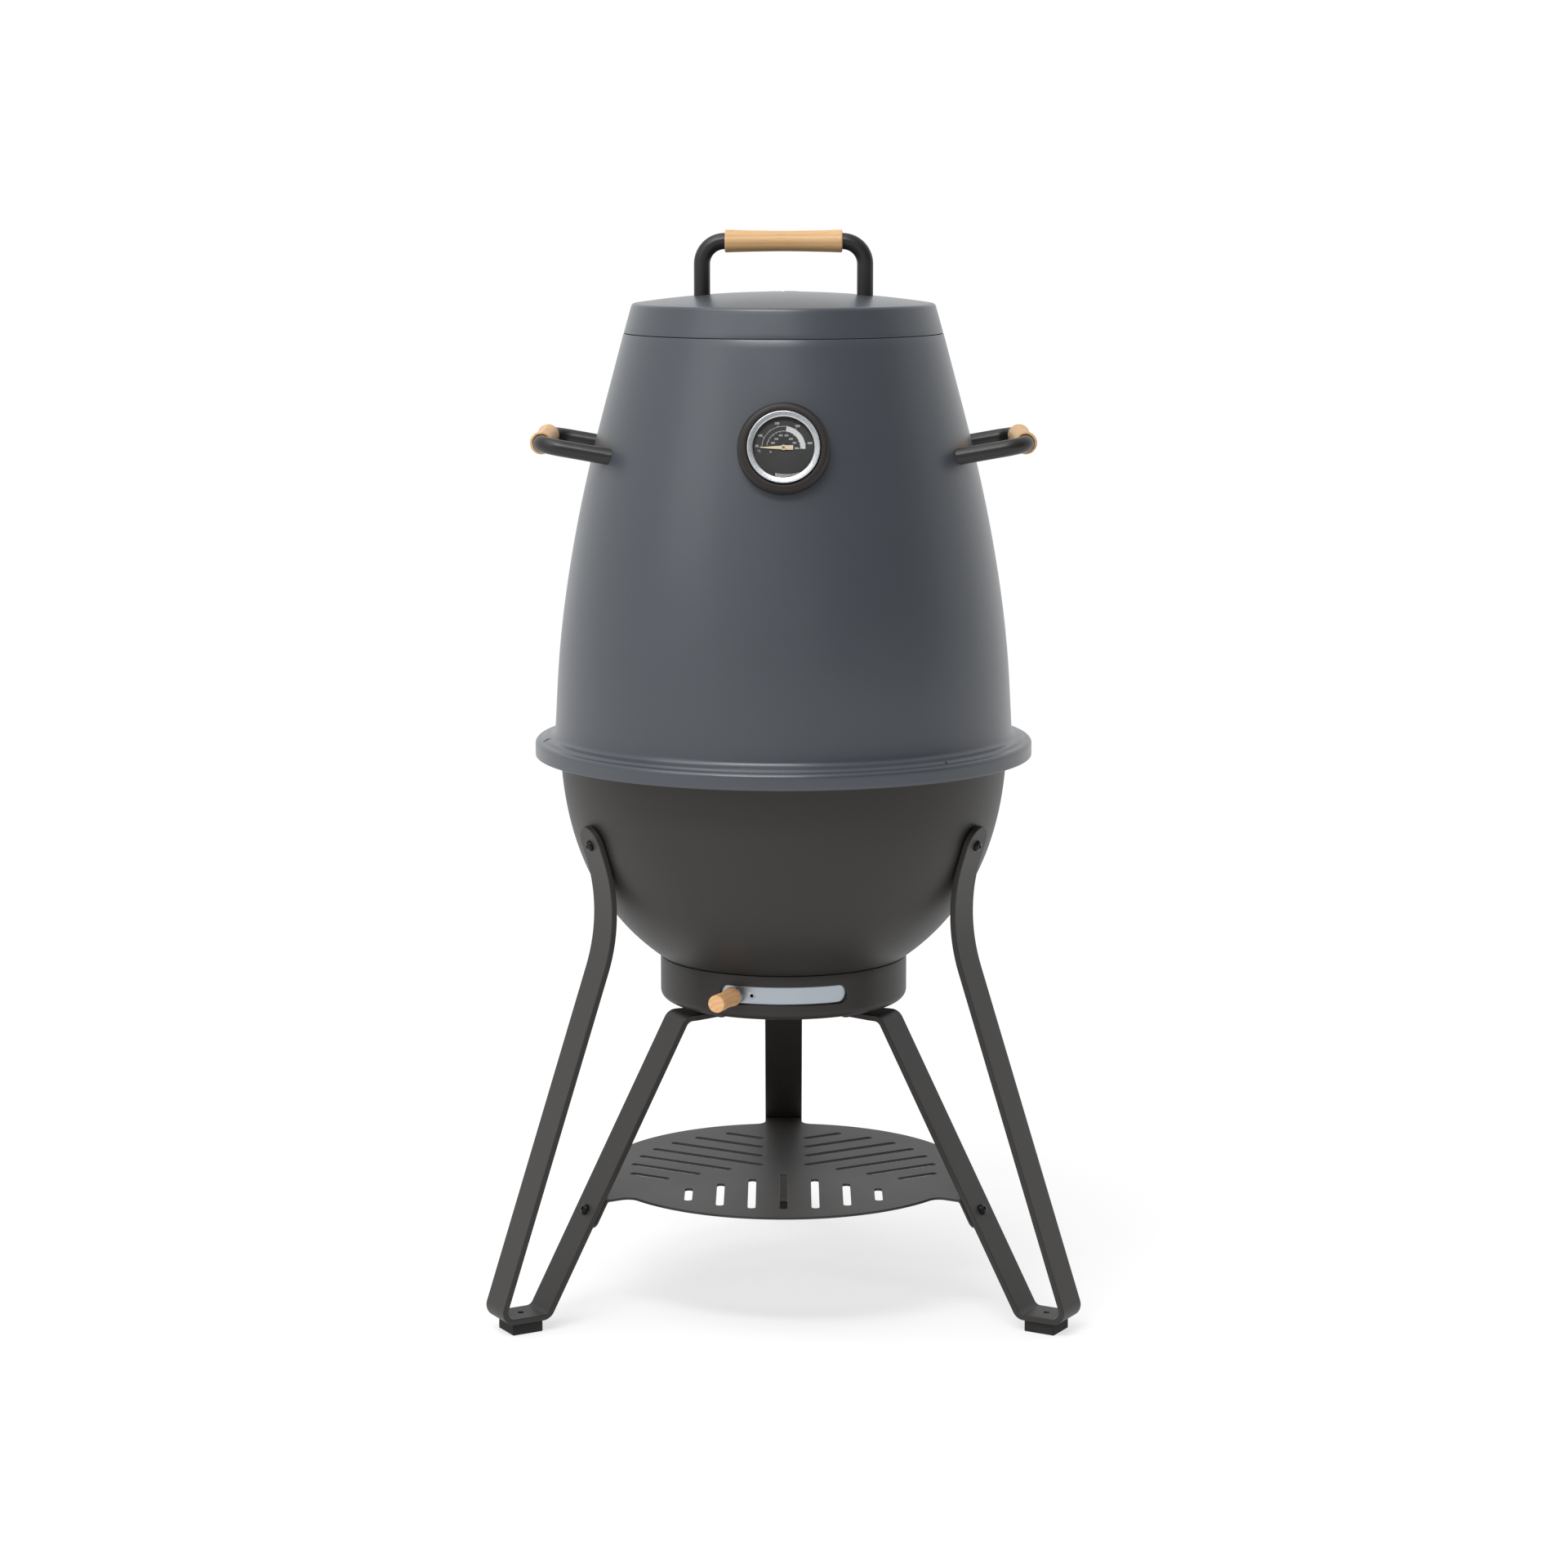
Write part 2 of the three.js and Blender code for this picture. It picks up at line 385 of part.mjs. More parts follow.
// ---------------------------------------------------------------- grates and water pan
function grate(ringR, z, wire, pitch, bar) {
  const k = wire / 2, oct = [];
  for (let i = 0; i < 4; i++) oct.push([ringR + k * Math.cos(Math.PI / 2 * i), z + k * Math.sin(Math.PI / 2 * i)]);
  let g = revolved(oct, true);
  const n = Math.floor((ringR - pitch / 3) / pitch);
  for (let i = -n; i <= n; i++) {
    const x = i * pitch, half = Math.sqrt(ringR ** 2 - x ** 2);
    g = g.add(solid(revolve([[0, -half], [bar / 2, -half], [bar / 2, half], [0, half]], false, 4)
      .rotateX(Math.PI / 2).translate(x, 0, z)));
  }
  return g;
}
add('charcoal_grate', grate(154, 398, 7, 30, 6), STEEL);
add('lower_grate', grate(216, GRATE_LEDGE + 4, 6.6, 40, 5), GRATE);
let rack = grate(166, 705, 6.6, 36, 5);
for (const a of [30, 150, 270]) {
  const [c, s] = dir(a);
  rack = rack.add(solid(cyl(3, GRATE_LEDGE + 8.2, 705, 6).translate(166 * c, 166 * s, 0)));
}
add('upper_grate', rack, GRATE);
const PAN_Z = PAN_LEDGE + 1.2 + GAP;
add('water_pan', revolve([[0, PAN_Z - 40], [142, PAN_Z - 40], [152, PAN_Z - 36], [176, PAN_Z], [186, PAN_Z], [186, PAN_Z + 1.8],
  [174.8, PAN_Z + 1.8], [151, PAN_Z - 34.4], [141.5, PAN_Z - 38.2], [0, PAN_Z - 38.2]], false, 36), BOWL_GREY);

// ---------------------------------------------------------------- air slider in the drum
const bandIn = 121.9, bandOut = 124.2, bandZ = [SLOT_Z0 - 1.8, SLOT_Z1 + 1.6];
let band = revolved([[bandIn, bandZ[0]], [bandOut, bandZ[0]], [bandOut, bandZ[1]], [bandIn, bandZ[1]]], true)
  .intersect(solid(sector(170, -80, 33.5, 300, 360)));
for (const a of [-70, -55, -40]) {              // air windows that come round to the slot
  band = band.subtract(solid(sector(170, a - 5.5, a + 5.5, slotMid - 6, slotMid + 6)));
}
const kd = [Math.sin(rad(KNOB_DEG)), -Math.cos(rad(KNOB_DEG)), 0];
const studFrame = frameAt([0, 0, KNOB_Z], kd, [0, 0, 1]);
band = band.subtract(placed(solid(cyl(2.9, 115, 130)), studFrame));
add('air_band', band, STEEL);
add('slider_stud', placed(revolved([[0, 118.2], [4.6, 118.2], [4.6, 120.8], [2.5, 120.8], [2.5, 160], [0, 160]], false, 12), studFrame), STEEL);
add('slider_spacer', placed(revolved([[2.9, 124.6], [8.2, 124.6], [8.2, 131.0], [2.9, 131.0]], true, 16), studFrame), STEEL);
add('slider_knob', placed(revolved([[0, 161.5], [2.9, 161.5], [2.9, 131.4], [9.5, 131.4], [9.8, 133], [8.5, 150], [8.9, 171.8], [8.4, 172.6], [0, 172.6]],
  false, 16), studFrame), WOOD);

// ---------------------------------------------------------------- hood
let hood = revolved([...HOOD_OUT, ...HOOD_IN], true);
const hoodFill = revolved([[0, 1000], ...offset([[161.1, 1000], ...HOOD_OUT], 0.35), [0, 565]], false);
// three lanced notches in the rim
for (const a of [40, -80, 160]) {
  hood = hood.subtract(placed(solid(box(239, 250, -1.3, 1.3, 578, 592)), new THREE.Matrix4().makeRotationZ(rad(a - 90))));
}

// handle in its own frame: posts along -Z from a grip centred on the origin, grip along X
function handleTube(reach) {
  const top = [], c = POST_X - BEND_R;
  for (const s of [-1, 1]) {
    const arc = [];
    for (let i = 0; i <= 4; i++) {
      const t = Math.PI / 2 * i / 4;
      arc.push([s * (c + BEND_R * Math.cos(t)), 0, -BEND_R + BEND_R * Math.sin(t)]);
    }
    top.push(s < 0 ? [[-POST_X, 0, -reach], ...arc] : [...arc.reverse(), [POST_X, 0, -reach]]);
  }
  return solid(tubeAlong([...top[0], ...top[1]], TUBE_R, 10));
}
const gripEnd = GRIP_L / 2;
const grip = solid(revolve([[GRIP_BORE, -gripEnd], [GRIP_R, -gripEnd],
  [GRIP_WAIST, 0], [GRIP_R, gripEnd], [GRIP_BORE, gripEnd]], true, 16)
  .rotateY(Math.PI / 2));
const postBore = (s, reach) => solid(cyl(2.9, -reach - 30, -reach + 30).translate(s * POST_X, 0, 0));

const SIDE_REACH = 68.5;
for (const [side, sx] of [['left', -1], ['right', 1]]) {
  const t = rad(SIDE_TILT);
  const m = frameAt([sx * SIDE_GRIP_X, 0, SIDE_GRIP_Z], [sx * Math.cos(t), 0, Math.sin(t)], [0, sx, 0]);
  let tube = handleTube(SIDE_REACH + 14);
  for (const s of [-1, 1]) tube = tube.subtract(postBore(s, SIDE_REACH + 6));
  add(`side_handle_${side}`, placed(tube, m).subtract(hoodFill), TUBE_BLACK);
  add(`side_grip_${side}`, placed(grip, m), WOOD);
  for (const s of [-1, 1]) {
    // front end is at -Y whichever side the handle is on
    const px = s * POST_X, world = new THREE.Vector3(px, 0, 0).applyMatrix4(m);
    const where = world.y < 0 ? 'front' : 'rear';
    hood = hood.subtract(placed(solid(cyl(2.9, -SIDE_REACH - 20, -SIDE_REACH + 20).translate(px, 0, 0)), m));
    add(`handle_screw_${side}_${where}`, placed(screw(5.2, 3.2, 2.5, 26)
      .transform(new THREE.Matrix4().makeRotationX(Math.PI).setPosition(px, 0, -SIDE_REACH - 7.6).toArray()), m), BOLT);
  }
}

// ---------------------------------------------------------------- thermometer, built round its own axis
const tt = rad(THERMO_TILT);
let wallR = 0;
for (let i = 1; i < HOOD_OUT.length; i++) if (THERMO_Z >= HOOD_OUT[i][1]) {
  const [a, b] = [HOOD_OUT[i - 1], HOOD_OUT[i]];
  wallR = a[0] + (b[0] - a[0]) * (THERMO_Z - a[1]) / (b[1] - a[1]);
  break;
}
const thermo = frameAt([0, -wallR, THERMO_Z], [0, -Math.cos(tt), Math.sin(tt)]);
const TSEG = 24;
hood = hood.subtract(placed(solid(cyl(4.2, -20, 20)), thermo));
add('thermo_collar', placed(revolved([[36.3, -12], [45, -12], [45, 3.6], [43.8, 7.0], [41.2, 10.6], [39.6, 11.2], [36.3, 10.4]], true, TSEG), thermo)
  .subtract(hoodFill), BOWL_GREY);
add('thermo_case', placed(revolved([[0, 0.8], [33.8, 0.8], [34.6, 1.6], [34.6, 12.0], [33.5, 12.0], [33.5, 2.4], [0, 2.4]], false, TSEG), thermo), CHROME);
add('thermo_bezel', placed(revolved([[29.8, 12.7], [29.8, 13.2], [31.2, 14.2], [34.2, 14.2], [35.4, 13.1], [35.4, 8.5], [34.95, 8.5], [34.95, 12.7]], true, TSEG), thermo), CHROME);
add('thermo_dial', placed(revolved([[1.4, 7.2], [33.0, 7.2], [33.0, 8.0], [1.4, 8.0]], true, TSEG), thermo), DIAL);
add('thermo_glass', placed(revolved([[0, 11.1], [33.0, 11.1], [33.0, 12.2], [0, 12.2]], false, TSEG), thermo), GLASS);
add('thermo_pin', placed(revolved([[0, 3.0], [0.9, 3.0], [0.9, 10.7], [0, 10.7]], false, 10), thermo), STEEL);
// needle: blade to the left at rest, blunt tail to the right
const needle = solid(extrude([[-23.2, -0.35], [-23.2, 0.35], [-2.6, 1.45], [0, 1.9], [9.4, 1.9], [9.4, -1.9], [0, -1.9], [-2.6, -1.45]], 0.7).translate(0, 0, 8.6))
  .add(solid(cyl(3.0, 8.6, 10.0, 16))).subtract(solid(cyl(1.25, 6, 12, 10)));
add('thermo_needle', placed(needle, thermo), CREAM);
add('thermo_stem', placed(revolved([[0, -62], [2.4, -62], [3.2, -60.5], [3.2, 0.4], [0, 0.4]], false, 12), thermo), STEEL);
add('thermo_nut', placed(solid(cyl(9, -9.4, -4.4, 6)).subtract(solid(cyl(3.7, -12, 0, 12))), thermo), STEEL);
add('hood', hood, HOOD_BLUE);

// ---------------------------------------------------------------- lid
const dome = (r) => LID_CREST - r * r / (2 * LID_DOME_R);
const lidOut = [[0, LID_CREST], [60, dome(60)], [110, dome(110)], [148, dome(148)], [152.6, 1025.6], [154.6, 1022.2],
  [161.5, SEAM_Z + 0.3]];
const lidIn = [[159.4, SEAM_Z + 0.3], [152.4, 1022.6], [148.6, 1024.9], [90, dome(90) - 2.4], [0, LID_CREST - 2.2]];
let lid = revolved([...lidOut, ...lidIn], false);
const lidFill = revolved([[0, LID_CREST + 0.4], [60, dome(60) + 0.4], [110, dome(110) + 0.4], [160, dome(160) + 0.4], [160, 1000], [0, 1000]], false);
const lidFrame = frameAt([0, 0, LID_GRIP_Z], [0, 0, 1]);
const LID_REACH = LID_GRIP_Z - dome(POST_X);
let lidTube = handleTube(LID_REACH + 8);
for (const s of [-1, 1]) {
  lidTube = lidTube.subtract(postBore(s, LID_REACH));
  lid = lid.subtract(placed(postBore(s, LID_REACH), lidFrame));
  add(s < 0 ? 'lid_screw_left' : 'lid_screw_right', screw(5.2, 3.2, 2.5, 26)
    .transform(new THREE.Matrix4().makeRotationX(Math.PI).setPosition(s * POST_X, 0, dome(POST_X) - 4.0).toArray()), BOLT);
}
add('lid_handle', placed(lidTube, lidFrame).subtract(lidFill), TUBE_BLACK);
add('lid_grip', placed(grip, lidFrame), WOOD);
add('lid_ring', revolve([[153.6, 984], [156.2, 984], [156.2, 1008], [153.6, 1008]], true), HOOD_BLUE);

// exhaust damper: a thin disc on the dome behind the handle, turning on a rivet
const ds = Math.asin(DAMPER_Y / LID_DOME_R);
const damperFrame = frameAt([0, DAMPER_Y, dome(DAMPER_Y)], [0, Math.sin(ds), Math.cos(ds)]);
let damper = revolved([[1.9, 0.75], [29, 0.75], [29, 1.95], [1.9, 1.95]], true, 24)
  .add(solid(box(-7, 7, 26, 28.4, 0.75, 5.0)));
for (let i = 0; i < 4; i++) {
  const [c, s] = dir(45 + 90 * i);
  damper = damper.subtract(solid(cyl(6, -3, 5, 12).translate(16.5 * c, 16.5 * s, 0)));
  lid = lid.subtract(placed(solid(cyl(6, -9, 9, 12).translate(16.5 * c, 16.5 * s, 0)), damperFrame));
}
lid = lid.subtract(placed(solid(cyl(1.9, -9, 9, 12)), damperFrame));
add('damper', placed(damper, damperFrame), STEEL);
add('damper_rivet', placed(revolved([[0, -4.6], [3, -4.6], [3, -3.2], [1.5, -3.2], [1.5, 2.25], [4.2, 2.25], [3.6, 2.85], [0, 2.85]], false, 12), damperFrame), STEEL);
add('lid', lid, HOOD_BLUE);

export default smoker;
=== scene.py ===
"""Vertical charcoal smoker on a three-legged stand: the looks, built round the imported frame.

Lengths are authored in millimetres about the smoker's own axis and turned into metres when a
piece is made.  +Z is up, the front faces -Y.
"""
import bpy
import bmesh
import math
import numpy as np
from mathutils import Matrix, Vector
from mathutils.geometry import delaunay_2d_cdt


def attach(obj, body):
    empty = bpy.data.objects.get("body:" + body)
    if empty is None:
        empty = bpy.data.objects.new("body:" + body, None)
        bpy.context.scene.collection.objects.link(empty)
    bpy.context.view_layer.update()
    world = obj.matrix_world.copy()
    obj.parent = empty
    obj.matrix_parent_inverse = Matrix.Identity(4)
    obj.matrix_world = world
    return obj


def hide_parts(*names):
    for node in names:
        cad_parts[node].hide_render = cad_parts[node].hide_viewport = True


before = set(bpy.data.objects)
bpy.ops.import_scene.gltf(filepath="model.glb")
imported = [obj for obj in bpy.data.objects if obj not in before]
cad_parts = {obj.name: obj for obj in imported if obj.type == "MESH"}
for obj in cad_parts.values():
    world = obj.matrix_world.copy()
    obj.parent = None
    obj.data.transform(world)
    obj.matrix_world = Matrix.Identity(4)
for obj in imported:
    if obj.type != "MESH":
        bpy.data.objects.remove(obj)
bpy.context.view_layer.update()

MM = 0.001
AXIS_Y = -(336.46 - 254.7) / 2          # the smoker's axis in the row frame, mm

# ------------------------------------------------------------------ dimensions
HOOD_RZ = [  # radius, height of the hood's outer wall
    (161.8, 997.3), (163.3, 992.2), (166.2, 980.7), (169.4, 969.2), (172.6, 957.7), (175.6, 946.2), (178.7, 934.6),
    (181.9, 923.1), (190.9, 888), (199.9, 852), (204.3, 832), (208.6, 812), (212.1, 792), (216.3, 772), (219.2, 752),
    (222.5, 732), (225.1, 712), (227.4, 692), (229.2, 672), (230.9, 652), (232.1, 632), (233.1, 612), (233.9, 599)]
BOWL_RZ = [
    (127.4, 359.8), (138.3, 367.9), (146.6, 374.8), (153.7, 381.3), (160.5, 387.9), (166.4, 394.5), (179.4, 410.7),
    (188.1, 423.5), (195.6, 436.4), (201.9, 449.2), (207.8, 462.7), (212.6, 475.9), (216.7, 489.3), (220.1, 502.7),
    (223.1, 516.1), (225.3, 529.4), (226.9, 542.8), (228.1, 554), (229.2, 566)]
FLANGE_R, FLANGE_Z0, SEAM_Z, LID_CREST, LID_DOME_R = 254.7, 568.5, 997.6, 1038.5, 1015.0
DRUM_R, DRUM_Z0, DRUM_BASE = 127.4, 313.0, 308.3
SLOT_HALF_DEG, SLOT_Z0, SLOT_Z1 = 30.4, 329.0, 347.5
KNOB_DEG, KNOB_Z = -23.0, 337.6
LEG_W, LEG_T, PAD, PAD_H, PAD_RHO, GAP = 40.0, 6.0, 33.6, 11.5, 307.3, 0.35
LEG_AZ = {"left": 210.0, "right": -30.0, "rear": 90.0}
SHELF_Z, SHELF_R, SHELF_T = 127.5, 191.5, 2.6
SLOT_W, SLOT_OFFSETS, SLOT_IN, SLOT_OUT_R = 8.0, [0, 32.3, 64.6, 97.0], [25, 44.5, 62.5, 81], 160.4
TUBE_R, POST_X, BEND_R = 8.25, 82.3, 22.8
GRIP_L, GRIP_R, GRIP_WAIST, GRIP_BORE = 118.5, 11.4, 10.2, 8.75
LID_GRIP_Z, SIDE_GRIP_X, SIDE_GRIP_Z, SIDE_TILT = 1089.2, 242.6, 890.0, 10.0
THERMO_Z, THERMO_TILT, DAMPER_Y = 893.2, 14.2, 108.0


# ------------------------------------------------------------------ small maths
def rad(d):
    return math.radians(d)


def rounded(corners, step=6.0, closed=False):
    """Polyline [(x, y, radius)] with its corners rounded, one point about every `step` degrees."""
    out, n = [], len(corners)
    for i, (x, y, r) in enumerate(corners):
        if not r or (not closed and i in (0, n - 1)):
            out.append((x, y))
            continue
        a, b, p0 = corners[i - 1], corners[(i + 1) % n], np.array([x, y], float)
        u, v = np.array(a[:2], float) - p0, np.array(b[:2], float) - p0
        u, v = u / np.linalg.norm(u), v / np.linalg.norm(v)
        half = math.acos(max(-1.0, min(1.0, float(u @ v)))) / 2
        t, k, w = r / math.tan(half), r / math.sin(half), (u + v) / np.linalg.norm(u + v)
        c = p0 + w * k
        p, q = p0 + u * t - c, p0 + v * t - c
        a0, a1 = math.atan2(p[1], p[0]), math.atan2(q[1], q[0])
        while a1 - a0 > math.pi:
            a1 -= 2 * math.pi
        while a0 - a1 > math.pi:
            a1 += 2 * math.pi
        m = max(2, int(round(abs(math.degrees(a1 - a0)) / step)))
        for j in range(m + 1):
            f = a0 + (a1 - a0) * j / m
            out.append((c[0] + r * math.cos(f), c[1] + r * math.sin(f)))
    return out


def meet(p, d, q, e):
    k = ((q[0] - p[0]) * e[1] - (q[1] - p[1]) * e[0]) / (d[0] * e[1] - d[1] * e[0])
    return (p[0] + d[0] * k, p[1] + d[1] * k)


def smooth_curve(points, degree, n, ends=True):
    """A smooth curve through scattered profile points: polynomials in chord length."""
    p = np.array(points, float)
    t = np.concatenate([[0], np.cumsum(np.linalg.norm(np.diff(p, axis=0), axis=1))])
    t = t / t[-1] * 2 - 1
    w = np.ones(len(p))
    w[0] = w[-1] = 30
    out = np.linspace(-1, 1, n)
    r = np.polyval(np.polyfit(t, p[:, 0], degree, w=w), out)
    z = np.polyval(np.polyfit(t, p[:, 1], degree, w=w), out)
    return list(zip(r.tolist(), z.tolist()))


def offset(profile, d):
    """Profile moved by d to the left of its direction of travel."""
    p = np.array(profile, float)
    seg = np.diff(p, axis=0)
    seg = seg / np.maximum(np.linalg.norm(seg, axis=1), 1e-9)[:, None]
    nrm = np.stack([-seg[:, 1], seg[:, 0]], 1)
    a, b = np.vstack([nrm[:1], nrm]), np.vstack([nrm, nrm[-1:]])
    m = a + b
    m = m / np.maximum((m * m).sum(1) / 2, 0.4)[:, None]
    return [tuple(x) for x in (p + m * d)]


def spaced(profile, longest):
    """The same polyline with no step longer than `longest`."""
    out = [profile[0]]
    for a, b in zip(profile, profile[1:]):
        n = max(1, int(math.ceil(math.dist(a, b) / longest)))
        out += [(a[0] + (b[0] - a[0]) * i / n, a[1] + (b[1] - a[1]) * i / n) for i in range(1, n + 1)]
    return out


def frame_at(o, d, x=(1, 0, 0)):
    """Local +Z along d at o (mm about the smoker's axis); x is roughly the local +X."""
    z, xx = Vector(d).normalized(), Vector(x)
    y = z.cross(xx).normalized()
    xx = y.cross(z)
    return Matrix(((xx.x, y.x, z.x, o[0]), (xx.y, y.y, z.y, o[1]), (xx.z, y.z, z.z, o[2]), (0, 0, 0, 1)))


def spin(deg):
    return Matrix.Rotation(rad(deg), 4, "Z")


# ------------------------------------------------------------------ mesh building
class Solid:
    """Vertices in mm and faces; closed shells are added one after another."""

    def __init__(self):
        self.v, self.f = [], []

    def add(self, verts, faces, m=None):
        k = len(self.v)
        if m is not None:
            verts = [tuple(m @ Vector(p)) for p in verts]
        self.v += [tuple(float(c) for c in p) for p in verts]
        self.f += [tuple(i + k for i in f) for f in faces]
        return self


def columns(n=192, a0=-180.0):
    return [a0 + 360.0 * i / n for i in range(n)]


def lathe(profile, n=192, closed=False, phis=None, skip=None):
    """Surface of revolution about Z. Angles are from the front (-Y), positive to the right."""
    phis = phis or columns(n)
    c = [(math.sin(rad(a)), -math.cos(rad(a))) for a in phis]
    verts, rows = [], []
    for r, z in profile:
        if r < 1e-6:
            rows.append([len(verts)])
            verts.append((0, 0, z))
        else:
            rows.append(list(range(len(verts), len(verts) + len(c))))
            verts += [(r * s, r * t, z) for s, t in c]
    faces, m, k = [], len(c), len(profile)
    for i in range(k if closed else k - 1):
        a, b = rows[i], rows[(i + 1) % k]
        for j in range(m):
            if skip and skip(i, j):
                continue
            j2 = (j + 1) % m
            if len(a) == 1 and len(b) == 1:
                continue
            if len(a) == 1:
                faces.append((a[0], b[j2], b[j]))
            elif len(b) == 1:
                faces.append((a[j], a[j2], b[0]))
            else:
                faces.append((a[j], a[j2], b[j2], b[j]))
    return verts, faces


def area2(loop):
    x, y = np.array(loop).T
    return float((x * np.roll(y, -1) - np.roll(x, -1) * y).sum() / 2)


def inside(loop, pts):
    """Even-odd test of points against one closed loop."""
    lp, p = np.array(loop, float), np.array(pts, float)
    x, y, hit = p[:, 0], p[:, 1], np.zeros(len(p), bool)
    for (x0, y0), (x1, y1) in zip(lp, np.roll(lp, -1, 0)):
        if y0 == y1:
            continue
        k = (y0 > y) != (y1 > y)
        hit ^= k & (x < (x1 - x0) * (y - y0) / (y1 - y0) + x0)
    return hit


def inward(loop):
    """Unit mitre directions to the left of travel, scaled so that an inset keeps its distance."""
    p = np.array(loop, float)
    d = np.roll(p, -1, 0) - p
    d = d / np.maximum(np.linalg.norm(d, axis=1), 1e-9)[:, None]
    n = np.stack([-d[:, 1], d[:, 0]], 1)
    m = n + np.roll(n, 1, 0)
    return m / np.maximum((m * m).sum(1) / 2, 0.5)[:, None]


def triangulate(loops, cuts=(), extra=()):
    """Triangles between loops (first outer, others holes). Indices run through loops, then extra."""
    pts, edges, start = [], [], []
    for lp in loops:
        k = len(pts)
        start.append(k)
        pts += [tuple(map(float, p)) for p in lp]
        edges += [(k + i, k + (i + 1) % len(lp)) for i in range(len(lp))]
    edges += [(start[a] + i, start[b] + j) for (a, i), (b, j) in cuts]
    pts += [tuple(map(float, p)) for p in extra]
    vs, _, fs, ov, _, _ = delaunay_2d_cdt([Vector(p) for p in pts], edges, [], 0, 1e-6, True)
    back = [o[0] if o else -1 for o in ov]
    cen = np.array([[sum(vs[i][k] for i in f) / len(f) for k in (0, 1)] for f in fs])
    keep = inside(loops[0], cen)
    for lp in loops[1:]:
        keep &= ~inside(lp, cen)
    out = []
    for f, ok in zip(fs, keep):
        if ok and all(back[i] >= 0 for i in f):
            t = [back[i] for i in f]
            if area2([pts[i] for i in t]) < 0:
                t.reverse()
            out.append(tuple(t))
    return pts, out


def plate(loops, thick, edge, place, cuts=(), extra=(), steps=3):
    """A sheet of metal cut to a flat pattern (outer loop, then holes) with rounded edges,
    put in space by place(x, y, h), h from -thick/2 to thick/2."""
    loops = [list(lp) for lp in loops]
    fixed = []
    for i, lp in enumerate(loops):
        if (area2(lp) > 0) != (i == 0):
            n = len(lp)
            lp = lp[::-1]
            cuts = [tuple((a, n - 1 - j) if a == i else (a, j) for a, j in c) for c in cuts]
        fixed.append(np.array(lp, float))
    mit = [inward(lp) for lp in fixed]
    rings = [(edge * (1 - math.sin(rad(90 * k / steps))), thick / 2 - edge * (1 - math.cos(rad(90 * k / steps))))
             for k in range(steps + 1)]
    rings += [(d, -h) for d, h in rings[::-1]]
    verts, faces = [], []
    pts, tris = triangulate([lp + m * edge for lp, m in zip(fixed, mit)], cuts, extra)
    flat, n = np.array(pts), len(pts)
    for h in (thick / 2, -thick / 2):
        verts += [tuple(p) for p in place(flat[:, 0], flat[:, 1], np.full(n, h))]
    faces += tris + [tuple(n + i for i in t[::-1]) for t in tris]
    at = 0
    for lp, m in zip(fixed, mit):
        k = len(lp)
        prev = list(range(at, at + k))
        for d, h in rings[1:-1]:
            q = lp + m * d
            cur = list(range(len(verts), len(verts) + k))
            verts += [tuple(p) for p in place(q[:, 0], q[:, 1], np.full(k, h))]
            faces += [(prev[i], cur[i], cur[(i + 1) % k], prev[(i + 1) % k]) for i in range(k)]
            prev = cur
        last = [n + i for i in range(at, at + k)]
        faces += [(prev[i], last[i], last[(i + 1) % k], prev[(i + 1) % k]) for i in range(k)]
        at += k
    return verts, faces


def ends(out, inn, e0=0.0, e1=0.0):
    """Matching profiles with rounded rims: each end is lengthened by its e."""
    out, inn = [tuple(p) for p in out], [tuple(p) for p in inn]

    def cap(a, b, a1, b1, e):
        a, b = np.array(a, float), np.array(b, float)
        u = (a - np.array(a1)) / np.linalg.norm(a - np.array(a1)) + (b - np.array(b1)) / np.linalg.norm(b - np.array(b1))
        u /= np.linalg.norm(u)
        w = (b - a) / np.linalg.norm(b - a)
        f = [rad(x) for x in (30, 60, 90)]
        return ([tuple(a + w * e * (1 - math.cos(x)) + u * e * math.sin(x)) for x in f],
                [tuple(b - w * e * (1 - math.cos(x)) + u * e * math.sin(x)) for x in f])
    if e1:
        p, q = cap(out[-1], inn[-1], out[-2], inn[-2], e1)
        out, inn = out + p, inn + q
    if e0:
        p, q = cap(out[0], inn[0], out[1], inn[1], e0)
        out, inn = p[::-1] + out, q[::-1] + inn
    return out, inn


def lengths(profile):
    return np.concatenate([[0], np.cumsum([math.dist(a, b) for a, b in zip(profile, profile[1:])])])


